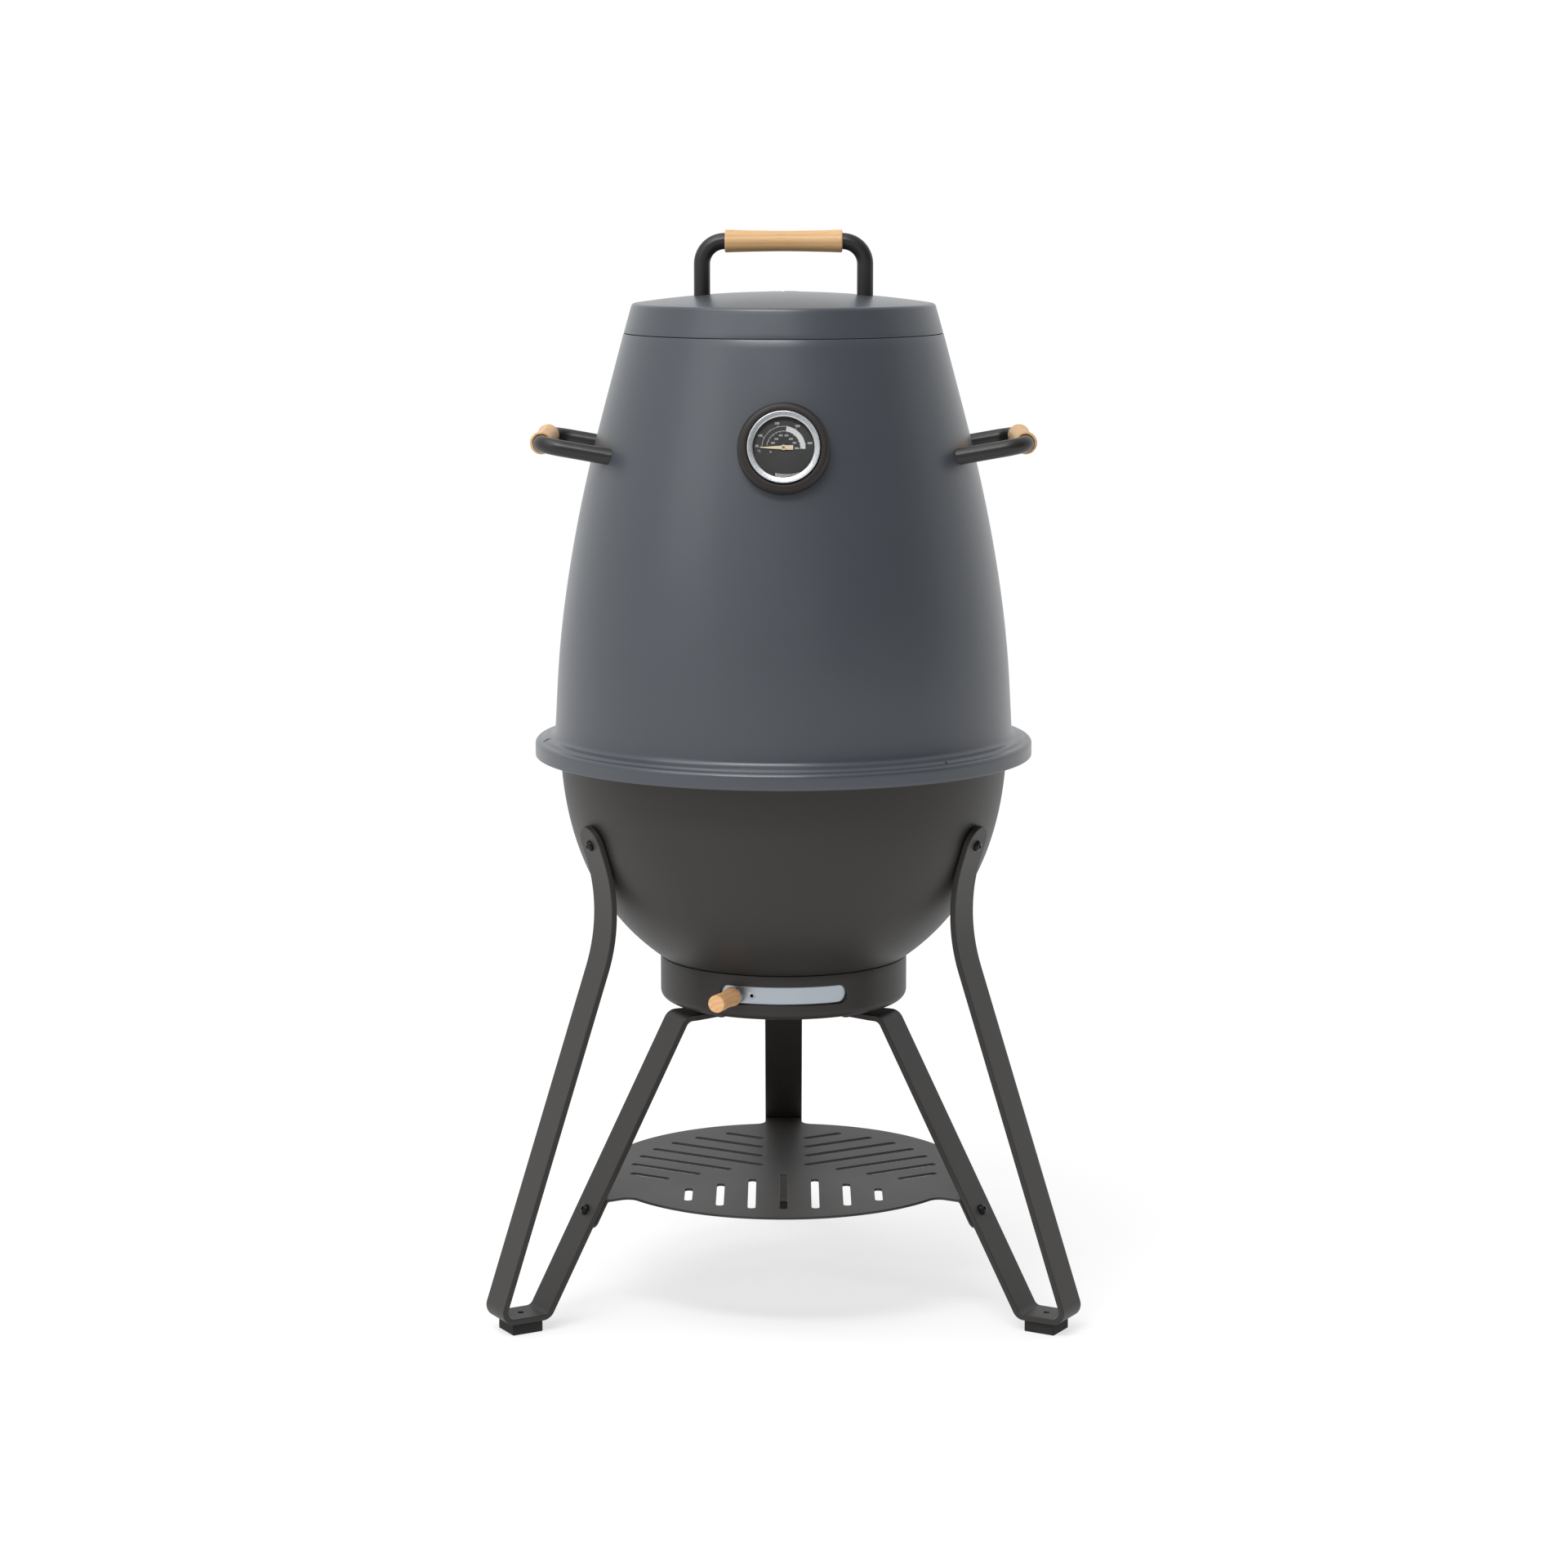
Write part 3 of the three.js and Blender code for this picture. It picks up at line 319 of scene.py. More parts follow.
def shell(out, inn, phis, patches=(), closed=True):
    """A revolved sheet: out and inn are matching profiles. A patch {i, j, holes, edge} is re-meshed
    over profile steps i and columns j, with holes that are loops of (degrees, length along out)."""
    k = len(out)
    loop = list(out) + list(inn)[::-1]

    def skip(i, j):
        return any(p["j"][0] <= j < p["j"][1] and (p["i"][0] <= i < p["i"][1] or p["i"][0] <= 2 * k - 2 - i < p["i"][1])
                   for p in patches)
    s = Solid()
    s.add(*lathe(loop, closed=closed, phis=phis, skip=skip))
    o, q = np.array(out, float), np.array(inn, float)
    t = lengths(out)
    for patch in patches:
        (i0, i1), (j0, j1), edge, lift = patch["i"], patch["j"], patch["edge"], patch.get("lift")
        rm = float(o[i0:i1 + 1, 0].mean())
        us = [rad(phis[j]) * rm for j in range(j0, j1 + 1)]
        ts = [t[i] for i in range(i0, i1 + 1)]
        outer = [(u, ts[0]) for u in us] + [(us[-1], v) for v in ts[1:-1]] + [(u, ts[-1]) for u in us[::-1]] \
            + [(us[0], v) for v in ts[1:-1][::-1]]
        hl = []
        for h in patch["holes"]:
            lp = np.array([(rad(a) * rm, v) for a, v in h])
            hl.append(lp[::-1] if area2(lp) > 0 else lp)
        mit = [inward(lp) for lp in hl]
        grown = [lp + n * edge for lp, n in zip(hl, mit)]
        fine = patch.get("fine")
        uu = us if not fine else np.linspace(us[0], us[-1], int((us[-1] - us[0]) / fine))
        vv = ts if not fine else np.linspace(ts[0], ts[-1], int((ts[-1] - ts[0]) / fine))
        grid = np.array([(u, v) for u in uu[1:-1] for v in vv[1:-1]]).reshape(-1, 2)
        if len(grid):
            near = np.zeros(len(grid), bool)
            gap = 0.6 if not fine else fine * 0.45
            for lp in grown:
                near |= inside(lp, grid)
                near |= (np.linalg.norm(grid[:, None] - np.array(lp)[None], axis=2).min(1) < gap)
            grid = grid[~near]

        def put(p, f):
            p = np.array(p, float).reshape(-1, 2)
            ph = p[:, 0] / rm
            ro, zo = np.interp(p[:, 1], t, o[:, 0]), np.interp(p[:, 1], t, o[:, 1])
            ri, zi = np.interp(p[:, 1], t, q[:, 0]), np.interp(p[:, 1], t, q[:, 1])
            r, z = ro * (1 - f) + ri * f, zo * (1 - f) + zi * f
            if lift:
                up = lift(p[:, 0], p[:, 1])
                d = np.stack([ro - ri, zo - zi], 1)
                d /= np.linalg.norm(d, axis=1)[:, None]
                r, z = r + d[:, 0] * up, z + d[:, 1] * up
            return [tuple(x) for x in np.stack([r * np.sin(ph), -r * np.cos(ph), z], 1)]
        pts, tris = triangulate([outer] + grown, (), grid)
        n, verts, faces = len(pts), [], []
        verts += put(pts, 0.0) + put(pts, 1.0)
        faces += tris + [tuple(n + i for i in f[::-1]) for f in tris]
        at, th = len(outer), float(np.linalg.norm(o[i0] - q[i0]))
        for lp, mm in zip(hl, mit):
            c = len(lp)
            prev = list(range(at, at + c))
            steps = [(edge * (1 - math.sin(rad(30 * a))), edge * (1 - math.cos(rad(30 * a))) / th) for a in (1, 2, 3)]
            for d, f in steps + [(d, 1 - f) for d, f in steps[::-1]]:
                cur = list(range(len(verts), len(verts) + c))
                verts += put(lp + mm * d, f)
                faces += [(prev[i], cur[i], cur[(i + 1) % c], prev[(i + 1) % c]) for i in range(c)]
                prev = cur
            last = [n + i for i in range(at, at + c)]
            faces += [(prev[i], last[i], last[(i + 1) % c], prev[(i + 1) % c]) for i in range(c)]
            at += c
        s.add(verts, faces)
    return s


def tube(points, radius, sides=32, start=None, end=None, closed=False):
    """A round bar along 3-D points in one plane. start and end move the end rings' points."""
    p = np.array(points, float)
    n = len(p)
    if closed:
        tan = np.roll(p, -1, 0) - np.roll(p, 1, 0)
    else:
        tan = np.gradient(p, axis=0)
        d = np.diff(p, axis=0)
        d = d / np.linalg.norm(d, axis=1)[:, None]
        tan[0], tan[-1] = d[0], d[-1]
        tan[1:-1] = d[:-1] + d[1:]
    tan = tan / np.linalg.norm(tan, axis=1)[:, None]
    span = p - p.mean(0)
    normal = np.linalg.svd(span)[2][-1] if n > 2 else None
    if n == 2 or abs(float(tan[0] @ normal)) > 0.3:
        normal = np.cross(tan[0], [0.12, 0.31, 0.94])
        normal /= np.linalg.norm(normal)
    verts, faces = [], []
    for i in range(n):
        b = normal - tan[i] * float(normal @ tan[i])
        b /= np.linalg.norm(b)
        a = np.cross(b, tan[i])
        rr = radius[i] if hasattr(radius, "__len__") else radius
        for k in range(sides):
            f = 2 * math.pi * k / sides
            verts.append(p[i] + (a * math.cos(f) + b * math.sin(f)) * rr)
    if start:
        verts[:sides] = [start(v, -tan[0]) for v in verts[:sides]]
    if end:
        verts[-sides:] = [end(v, tan[-1]) for v in verts[-sides:]]
    for i in range(n if closed else n - 1):
        a, b = i * sides, ((i + 1) % n) * sides
        faces += [(a + k, a + (k + 1) % sides, b + (k + 1) % sides, b + k) for k in range(sides)]
    if not closed:
        for first, flip in ((0, True), ((n - 1) * sides, False)):
            c = np.mean([verts[first + k] for k in range(sides)], axis=0)
            verts.append(c)
            j = len(verts) - 1
            for k in range(sides):
                f = (first + k, first + (k + 1) % sides, j)
                faces.append(f[::-1] if flip else f)
    return [tuple(v) for v in verts], faces


def rod(a, b, radius, sides=20, dome=0.5):
    """A straight bar from a to b with softly rounded ends."""
    a, b = np.array(a, float), np.array(b, float)
    length = float(np.linalg.norm(b - a))
    d, e = (b - a) / length, min(radius * dome, length / 3)
    ps, rs = [], []
    for k in range(5):
        f = math.pi / 2 * k / 4
        ps.append(e * (1 - math.sin(f)))
        rs.append(radius - e + e * math.cos(f))
    ps, rs = ps[::-1], rs[::-1]
    ps, rs = sorted(ps), [x for _, x in sorted(zip(ps, rs))]
    pos = [a + d * s for s in ps] + [b - d * s for s in ps[::-1]]
    return tube(pos, rs + rs[::-1], sides)


def piece(name, solid, mat, body, nodes, m=None, sharp=42.0, weld=True, flats=False):
    """Turns a Solid (mm, in the local frame m about the smoker's axis) into a riding object."""
    if isinstance(solid, tuple):
        solid = Solid().add(*solid)
    me = bpy.data.meshes.new(name)
    me.from_pydata([(x * MM, y * MM, z * MM) for x, y, z in solid.v], [], solid.f)
    bm = bmesh.new()
    bm.from_mesh(me)
    if weld:
        bmesh.ops.remove_doubles(bm, verts=bm.verts, dist=2e-6)
    bmesh.ops.dissolve_degenerate(bm, edges=bm.edges, dist=1e-7)
    bmesh.ops.recalc_face_normals(bm, faces=bm.faces)
    if bm.calc_volume(signed=True) < 0:
        bmesh.ops.reverse_faces(bm, faces=bm.faces)
    bm.to_mesh(me)
    bm.free()
    me.polygons.foreach_set("use_smooth", [True] * len(me.polygons))
    me.set_sharp_from_angle(angle=rad(sharp))
    me.update()
    ob = bpy.data.objects.new(name, me)
    bpy.context.scene.collection.objects.link(ob)
    full = Matrix.Translation((0, AXIS_Y * MM, 0))
    if m is not None:
        local = m.copy()
        local.translation = local.translation * MM
        full = full @ local
    ob.matrix_world = full
    me.materials.append(mat)
    if flats:                                # flat faces keep their own normal beside a rounded edge
        w = ob.modifiers.new("normals", "WEIGHTED_NORMAL")
        w.keep_sharp, w.weight, w.thresh = True, 60, 0.01
    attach(ob, body)
    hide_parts(*nodes)
    return ob


# ------------------------------------------------------------------ materials
def srgb(r, g, b):
    def one(c):
        c /= 255.0
        return c / 12.92 if c <= 0.04045 else ((c + 0.055) / 1.055) ** 2.4
    return (one(r), one(g), one(b), 1.0)


class Mat:
    """A node material with short ways to add the parts."""

    def __init__(self, name):
        self.mat = bpy.data.materials.new(name)
        self.mat.use_nodes = True
        self.nt = self.mat.node_tree
        self.nt.nodes.clear()
        self.out = self.nt.nodes.new("ShaderNodeOutputMaterial")
        self.bsdf = self.nt.nodes.new("ShaderNodeBsdfPrincipled")
        self.link(self.bsdf.outputs[0], self.out.inputs["Surface"])
        self.tc = self.nt.nodes.new("ShaderNodeTexCoord").outputs["Object"]

    def link(self, a, b):
        self.nt.links.new(a, b)

    def set(self, **kw):
        for k, v in kw.items():
            self.bsdf.inputs[k.replace("_", " ")].default_value = v
        return self

    def mapped(self, scale=(1, 1, 1), rot=(0, 0, 0), loc=(0, 0, 0)):
        n = self.nt.nodes.new("ShaderNodeMapping")
        n.inputs["Scale"].default_value = scale
        n.inputs["Rotation"].default_value = rot
        n.inputs["Location"].default_value = loc
        self.link(self.tc, n.inputs["Vector"])
        return n.outputs[0]

    def noise(self, scale, detail=3.0, rough=0.55, vec=None, distort=0.0):
        n = self.nt.nodes.new("ShaderNodeTexNoise")
        n.inputs["Scale"].default_value = scale
        n.inputs["Detail"].default_value = detail
        n.inputs["Roughness"].default_value = rough
        n.inputs["Distortion"].default_value = distort
        self.link(vec or self.tc, n.inputs["Vector"])
        return n.outputs["Fac"]

    def voronoi(self, scale, vec=None, feature="F1"):
        n = self.nt.nodes.new("ShaderNodeTexVoronoi")
        n.feature = feature
        n.inputs["Scale"].default_value = scale
        self.link(vec or self.tc, n.inputs["Vector"])
        return n.outputs["Distance"]

    def ramp(self, fac, stops, mode="LINEAR"):
        n = self.nt.nodes.new("ShaderNodeValToRGB")
        n.color_ramp.interpolation = mode
        els = n.color_ramp.elements
        while len(els) < len(stops):
            els.new(0.5)
        for e, (p, c) in zip(els, stops):
            e.position, e.color = p, c
        self.link(fac, n.inputs["Fac"])
        return n.outputs["Color"]

    def remap(self, fac, lo, hi, a=0.3, b=0.7):
        n = self.nt.nodes.new("ShaderNodeMapRange")
        for key, v in (("From Min", a), ("From Max", b), ("To Min", lo), ("To Max", hi)):
            n.inputs[key].default_value = v
        self.link(fac, n.inputs["Value"])
        return n.outputs[0]

    def math(self, op, a, b):
        n = self.nt.nodes.new("ShaderNodeMath")
        n.operation = op
        for i, x in enumerate((a, b)):
            if isinstance(x, (int, float)):
                n.inputs[i].default_value = x
            else:
                self.link(x, n.inputs[i])
        return n.outputs[0]

    def mix(self, fac, a, b, blend="MIX"):
        n = self.nt.nodes.new("ShaderNodeMix")
        n.data_type, n.blend_type = "RGBA", blend
        for i, x in ((0, fac), (6, a), (7, b)):
            if hasattr(x, "is_output"):
                self.link(x, n.inputs[i])
            else:
                n.inputs[i].default_value = x
        return n.outputs[2]

    def colour(self, sock):
        self.link(sock, self.bsdf.inputs["Base Color"])

    def roughness(self, sock):
        self.link(sock, self.bsdf.inputs["Roughness"])

    def bump(self, *layers):
        """layers of (height socket, strength, distance in metres), the coarsest first."""
        last = None
        for h, strength, dist in layers:
            n = self.nt.nodes.new("ShaderNodeBump")
            n.inputs["Strength"].default_value = strength
            n.inputs["Distance"].default_value = dist
            self.link(h, n.inputs["Height"])
            if last:
                self.link(last, n.inputs["Normal"])
            last = n.outputs[0]
        self.link(last, self.bsdf.inputs["Normal"])


def shade(c, k):
    return (c[0] * k, c[1] * k, c[2] * k, 1.0)


def coated(name, base, rough, spread, grain=1500.0, metallic=0.0, bump=0.10, level=0.5):
    """Enamel or powder coat: fine orange peel, faint clouding, roughness that wanders a little."""
    m = Mat(name)
    cloud = m.noise(5.0, 4.0, 0.6)
    fine = m.noise(grain, 2.0, 0.5)
    speck = m.noise(grain * 0.35, 3.0, 0.6)
    both = m.math("ADD", m.math("MULTIPLY", cloud, 0.7), m.math("MULTIPLY", speck, 0.3))
    m.colour(m.ramp(both, [(0.32, shade(base, 1 - spread)), (0.5, base), (0.68, shade(base, 1 + spread))]))
    m.roughness(m.remap(m.math("ADD", m.math("MULTIPLY", cloud, 0.5), m.math("MULTIPLY", fine, 0.5)),
                        rough - 0.05, rough + 0.05))
    m.bump((speck, bump * 0.8, 0.00006), (fine, bump, 0.00003))
    m.set(Metallic=metallic, Specular_IOR_Level=level)
    return m.mat


HOOD = coated("hood_enamel", srgb(66, 70, 76), 0.31, 0.04, 1300.0, 0.15, 0.10, 0.62)
GREY = coated("stand_enamel", srgb(42, 39, 37), 0.48, 0.06, 1100.0, 0.0, 0.16, 0.40)
BLACK = coated("handle_tube", srgb(31, 29, 28), 0.36, 0.08, 1400.0, 0.05, 0.07, 0.45)


def wood(name, light, mid, dark, scale=1.0):
    """Turned oak: rings about an axis off the piece, pores and flecks drawn out along local Z."""
    m = Mat(name)
    warp = m.noise(16.0, 3.0, 0.55, m.mapped((1, 1, 0.25)))
    v = m.mapped((1, 1, 0.06), (rad(4), rad(3), 0), (0.031, 0.017, 0))
    w = m.nt.nodes.new("ShaderNodeTexWave")
    w.wave_type, w.rings_direction, w.wave_profile = "RINGS", "Z", "SAW"
    w.inputs["Scale"].default_value = 46.0 * scale
    w.inputs["Distortion"].default_value = 2.2
    w.inputs["Detail"].default_value = 3.0
    w.inputs["Detail Scale"].default_value = 1.4
    m.link(v, w.inputs["Vector"])
    rings = w.outputs["Fac"]
    pores = m.noise(900.0, 2.0, 0.6, m.mapped((1, 1, 0.035)))
    fibre = m.noise(2600.0, 2.0, 0.5, m.mapped((1, 1, 0.02)))
    mix = m.math("ADD", m.math("MULTIPLY", rings, 0.42), m.math("ADD", m.math("MULTIPLY", warp, 0.30), m.math("MULTIPLY", fibre, 0.28)))
    body = m.ramp(mix, [(0.22, light), (0.5, mid), (0.82, dark)])
    pit = m.ramp(pores, [(0.30, (1, 1, 1, 1)), (0.40, (0, 0, 0, 1))])
    m.colour(m.mix(m.math("MULTIPLY", pit, 0.55), body, shade(dark, 0.62)))
    m.roughness(m.remap(m.math("ADD", m.math("MULTIPLY", fibre, 0.6), m.math("MULTIPLY", rings, 0.4)), 0.48, 0.66))
    m.bump((rings, 0.10, 0.0002), (m.math("SUBTRACT", fibre, m.math("MULTIPLY", pit, 0.8)), 0.25, 0.00008))
    m.set(Specular_IOR_Level=0.4)
    return m.mat


WOOD = wood("grip_wood", srgb(213, 176, 130), srgb(204, 164, 117), srgb(188, 146, 100))
KNOB = wood("knob_wood", srgb(226, 180, 132), srgb(220, 171, 122), srgb(204, 153, 105), 1.3)


def brushed(name, base, rough, along, aniso=0.5, low=0.86):
    """Brushed steel; `along` is the mapping scale that draws the scratches out."""
    m = Mat(name)
    fine = m.noise(1.0, 3.0, 0.6, m.mapped(along))
    wide = m.noise(1.0, 2.0, 0.5, m.mapped(tuple(a * 0.17 for a in along)))
    stain = m.noise(28.0, 3.0, 0.6)
    both = m.math("ADD", m.math("MULTIPLY", fine, 0.6), m.math("MULTIPLY", wide, 0.4))
    m.colour(m.ramp(m.math("ADD", m.math("MULTIPLY", both, 0.75), m.math("MULTIPLY", stain, 0.25)),
                    [(0.35, shade(base, low)), (0.65, base)]))
    m.roughness(m.remap(both, rough - 0.07, rough + 0.09))
    m.bump((both, 0.35, 0.00002))
    m.set(Metallic=1.0, Anisotropic=aniso)
    return m.mat


STEEL = brushed("plain_steel", srgb(172, 179, 187), 0.30, (25, 25, 5200))
GRATE = brushed("grate_steel", srgb(168, 170, 172), 0.28, (900, 900, 900), 0.0)
CHROME = brushed("bright_chrome", srgb(210, 212, 215), 0.28, (3600, 3600, 3600), 0.0, 0.95)


def rubber(name, base):
    m = Mat(name)
    big, fine = m.noise(60.0, 3.0), m.noise(2200.0, 3.0, 0.6)
    m.colour(m.ramp(m.math("ADD", m.math("MULTIPLY", big, 0.6), m.math("MULTIPLY", fine, 0.4)),
                    [(0.3, shade(base, 0.75)), (0.7, shade(base, 1.35))]))
    m.roughness(m.remap(fine, 0.70, 0.90))
    m.bump((fine, 0.35, 0.00008))
    m.set(Specular_IOR_Level=0.35)
    return m.mat


RUBBER = rubber("pad_rubber", srgb(34, 33, 33))
BOLT = coated("bolt_black", srgb(24, 24, 24), 0.36, 0.15, 2600.0, 0.6, 0.18)
COLLAR = coated("collar_enamel", srgb(36, 32, 30), 0.42, 0.06, 1500.0, 0.0, 0.12, 0.30)
DIAL = coated("dial_face", srgb(40, 40, 41), 0.62, 0.05, 3000.0, 0.0, 0.08)
CREAM = coated("needle_cream", srgb(240, 220, 184), 0.45, 0.03, 2400.0, 0.0, 0.05)
PRINT = coated("dial_print", srgb(226, 226, 226), 0.60, 0.03, 3200.0, 0.0, 0.04)


def glass(name):
    m = Mat(name)
    clear = m.nt.nodes.new("ShaderNodeBsdfTransparent")
    gloss = m.nt.nodes.new("ShaderNodeBsdfGlossy")
    gloss.inputs["Roughness"].default_value = 0.03
    fres = m.nt.nodes.new("ShaderNodeFresnel")
    fres.inputs["IOR"].default_value = 1.33
    mix = m.nt.nodes.new("ShaderNodeMixShader")
    m.link(fres.outputs[0], mix.inputs[0])
    m.link(clear.outputs[0], mix.inputs[1])
    m.link(gloss.outputs[0], mix.inputs[2])
    m.nt.nodes.remove(m.bsdf)
    m.link(mix.outputs[0], m.out.inputs["Surface"])
    return m.mat


GLASS = glass("gauge_glass")


# ------------------------------------------------------------------ hood
hood_wall = smooth_curve(HOOD_RZ, 7, 46)
hood_wall[0] = (hood_wall[0][0] + (997.3 - 996.7) * 0.26, 996.7)
wall_end = hood_wall[-1]
HOOD_OUT = hood_wall + spaced(rounded(
    [(wall_end[0], wall_end[1], 0), (234.9, 589.7, 6.2), (244.6, 587.7, 2.6), (247.5, 585.25, 1.9),
     (FLANGE_R, 584.4, 4.6), (FLANGE_R, FLANGE_Z0 + 0.7, 0)], 9.0), 3.0)[1:]
_hz = np.array([p[1] for p in hood_wall][::-1])
_hr = np.array([p[0] for p in hood_wall][::-1])


def hood_r(z):
    return float(np.interp(z, _hz, _hr))


hood_in = offset(HOOD_OUT, -2.0)
HOOD_OUT, hood_in = ends(HOOD_OUT, hood_in, 0.6, 0.7)
HCOL = columns(240, -180.0)
_ht = lengths(HOOD_OUT)
k_rim = [i for i, p in enumerate(HOOD_OUT) if p[1] < 592.0][0]
k_end = [i for i, p in enumerate(HOOD_OUT) if p[0] > 252.6][0]
t_mid = float(_ht[k_rim:][np.argmin([abs(p[0] - 243.9) for p in HOOD_OUT[k_rim:]])])


def slit(deg, c):
    """A lanced slit across the rim's bead, wider at its outer end and bent a little."""
    pts, n = [], 16
    for side in (1, -1):
        for k in (range(n + 1) if side > 0 else range(n, -1, -1)):
            f = k / n
            half = (0.35 + 1.05 * f ** 1.4) * math.sqrt(max(1 - (2 * f - 1) ** 8, 0.02))
            pts.append((deg + math.degrees((1.3 * (1 - (2 * f - 1) ** 2) + side * half) / 246.0), c + (f - 0.5) * 10.6))
    return pts


def lance(u0, c):
    """The sheet stands up beside the slit, highest at its outer end."""
    def lift(u, v):
        du, dv = (u - u0), (v - c)
        along = np.clip(1 - (dv / 6.6) ** 2, 0, 1) ** 1.5
        side = np.where(du < 0.9, np.exp(-((du - 0.9) / 3.4) ** 2), np.exp(-((du - 0.9) / 0.55) ** 2))
        return 0.55 * along * side
    return lift


hood_patches = []
for deg in (-80.0, 40.0, 160.0):
    j = int(math.floor((deg + 180.0) / 1.5))
    rm = float(np.array(HOOD_OUT)[k_rim:k_end + 1, 0].mean())
    hood_patches.append({"i": (k_rim, k_end), "j": (j - 3, j + 4), "holes": [slit(deg, t_mid + 0.6)], "edge": 0.15,
                         "fine": 1.0, "lift": lance(rad(deg) * rm, t_mid + 0.6)})
piece("hood_shell", shell(HOOD_OUT, hood_in, HCOL, hood_patches), HOOD, "hood", ["hood"])


# ------------------------------------------------------------------ lid
def dome(r):
    return LID_CREST - r * r / (2 * LID_DOME_R)


crown = [(float(r), dome(float(r))) for r in np.linspace(0, 144, 25)]
corner = meet((161.5, 997.9), (161.5 - 154.6, 997.9 - 1022.2), (144, dome(144)), (10, dome(154) - dome(144)))
LID_OUT = crown[:-1] + spaced(rounded([(144, dome(144), 0), (*corner, 4.2), (161.33, 998.5, 0)], 9.0), 4.0)
lid_in = offset(LID_OUT, -2.0)
lid_in[0] = (0.0, LID_CREST - 2.0)
LID_OUT, lid_in = ends(LID_OUT, lid_in, 0, 0.6)
_lt, _lr = lengths(LID_OUT)[:25], np.array([p[0] for p in LID_OUT])[:25]
ds = math.asin(DAMPER_Y / LID_DOME_R)
DAMPER_FRAME = frame_at((0, DAMPER_Y, dome(DAMPER_Y)), (0, math.sin(ds), math.cos(ds)))


def lid_hole(cx, cy, r, n=36):
    out = []
    for k in range(n):
        f = 2 * math.pi * k / n
        x, y = cx + r * math.cos(f), cy + r * math.sin(f)
        out.append((math.degrees(math.atan2(x, -y)) % 360.0 - 360.0, float(np.interp(math.hypot(x, y), _lr, _lt))))
    return out


lid_holes = [lid_hole(16.5 * math.cos(rad(a)), DAMPER_Y + 16.5 * math.sin(rad(a)), 6.0) for a in (45, 135, 225, 315)]
lid_holes.append(lid_hole(0, DAMPER_Y, 1.9, 16))
LCOL = columns(180, -360.0)
piece("lid_shell", shell(LID_OUT, lid_in, LCOL, [{"i": (11, 22), "j": (90 - 14, 90 + 14), "holes": lid_holes, "edge": 0.35,
                                                 "fine": 3.2}], closed=False), HOOD, "lid", ["lid"])
o, q = ends([(156.2, 1006.9), (156.2, 985.1)], [(153.6, 1006.9), (153.6, 985.1)], 1.1, 1.1)
piece("lid_locating_ring", shell(o, q, columns(180)), HOOD, "lid", ["lid_ring"])

# ------------------------------------------------------------------ bowl and ash drum
bowl_wall = smooth_curve(BOWL_RZ, 7, 44)
BOWL_OUT = [(124.4, 350.8), (124.4, 355.0), (124.4, 357.9), (125.2, 358.9)] + bowl_wall[:-1] + rounded(
    [(bowl_wall[-1][0], bowl_wall[-1][1], 0), (231.2, 577.5, 7.0), (248.2, 577.5, 0)], 9.0)
bowl_in = offset(BOWL_OUT, 2.5)
for i in range(4):
    bowl_in[i] = (121.9, BOWL_OUT[i][1])
bowl_in = [(max(r, 121.9), z) for r, z in bowl_in]
_bz, _br = np.array([p[1] for p in bowl_in[4:-6]]), np.array([p[0] for p in bowl_in[4:-6]])


def bowl_inner_r(z):
    return float(np.interp(z, _bz, _br))


bo, bi = ends(BOWL_OUT, bowl_in, 0.6, 1.0)
piece("bowl_shell", shell(bo, bi, columns(240)), GREY, "stand", ["bowl"])

drum_floor = rounded([(0, DRUM_BASE, 0), (89.5, DRUM_BASE, 4), (95.5, DRUM_Z0, 4), (DRUM_R, DRUM_Z0, 9), (DRUM_R, 323.0, 0)], 7.5)
DRUM_OUT = spaced(drum_floor, 12.0) + [(DRUM_R, z) for z in np.linspace(325.2, 351.6, 13)] + [(DRUM_R, 358.3)]
drum_in = offset(DRUM_OUT, 2.4)
drum_in[0] = (0.0, DRUM_BASE + 2.4)
k0 = [i for i, p in enumerate(DRUM_OUT) if p[1] > 325][0]
k1 = [i for i, p in enumerate(DRUM_OUT) if p[1] > 351.5][0]
DRUM_OUT2, drum_in2 = ends(DRUM_OUT, drum_in, 0, 0.6)
_dt, _dz = lengths(DRUM_OUT2)[k0 - 1:], np.array([p[1] for p in DRUM_OUT2])[k0 - 1:]
slot_r, slot_mid = (SLOT_Z1 - SLOT_Z0) / 2, (SLOT_Z1 + SLOT_Z0) / 2


def wall_t(z):
    return float(np.interp(z, _dz, _dt))


def slot_loop():
    end = SLOT_HALF_DEG - math.degrees(slot_r / DRUM_R)
    pts = [(a, SLOT_Z0) for a in np.linspace(-end, end, 33)]
    pts += [(end + math.degrees(slot_r * math.sin(f) / DRUM_R), slot_mid - slot_r * math.cos(f)) for f in np.linspace(0, math.pi, 25)[1:-1]]
    pts += [(a, SLOT_Z1) for a in np.linspace(end, -end, 33)]
    pts += [(-end - math.degrees(slot_r * math.sin(f) / DRUM_R), slot_mid + slot_r * math.cos(f)) for f in np.linspace(0, math.pi, 25)[1:-1]]
    return [(a, wall_t(z)) for a, z in pts]


DCOL = columns(240)
piece("ash_drum_shell", shell(DRUM_OUT2, drum_in2, DCOL, [{"i": (k0, k1), "j": (120 - 24, 120 + 24), "holes": [slot_loop()],
                                                         "edge": 0.7}], closed=False), GREY, "stand", ["ash_drum"])


# ------------------------------------------------------------------ screws and nuts
def hex_r(a, radius):
    """Distance to a hexagon's side at angle a (degrees); radius is to its corners."""
    k = (a % 60.0) - 30.0
    return radius * math.cos(rad(30)) / math.cos(rad(k))


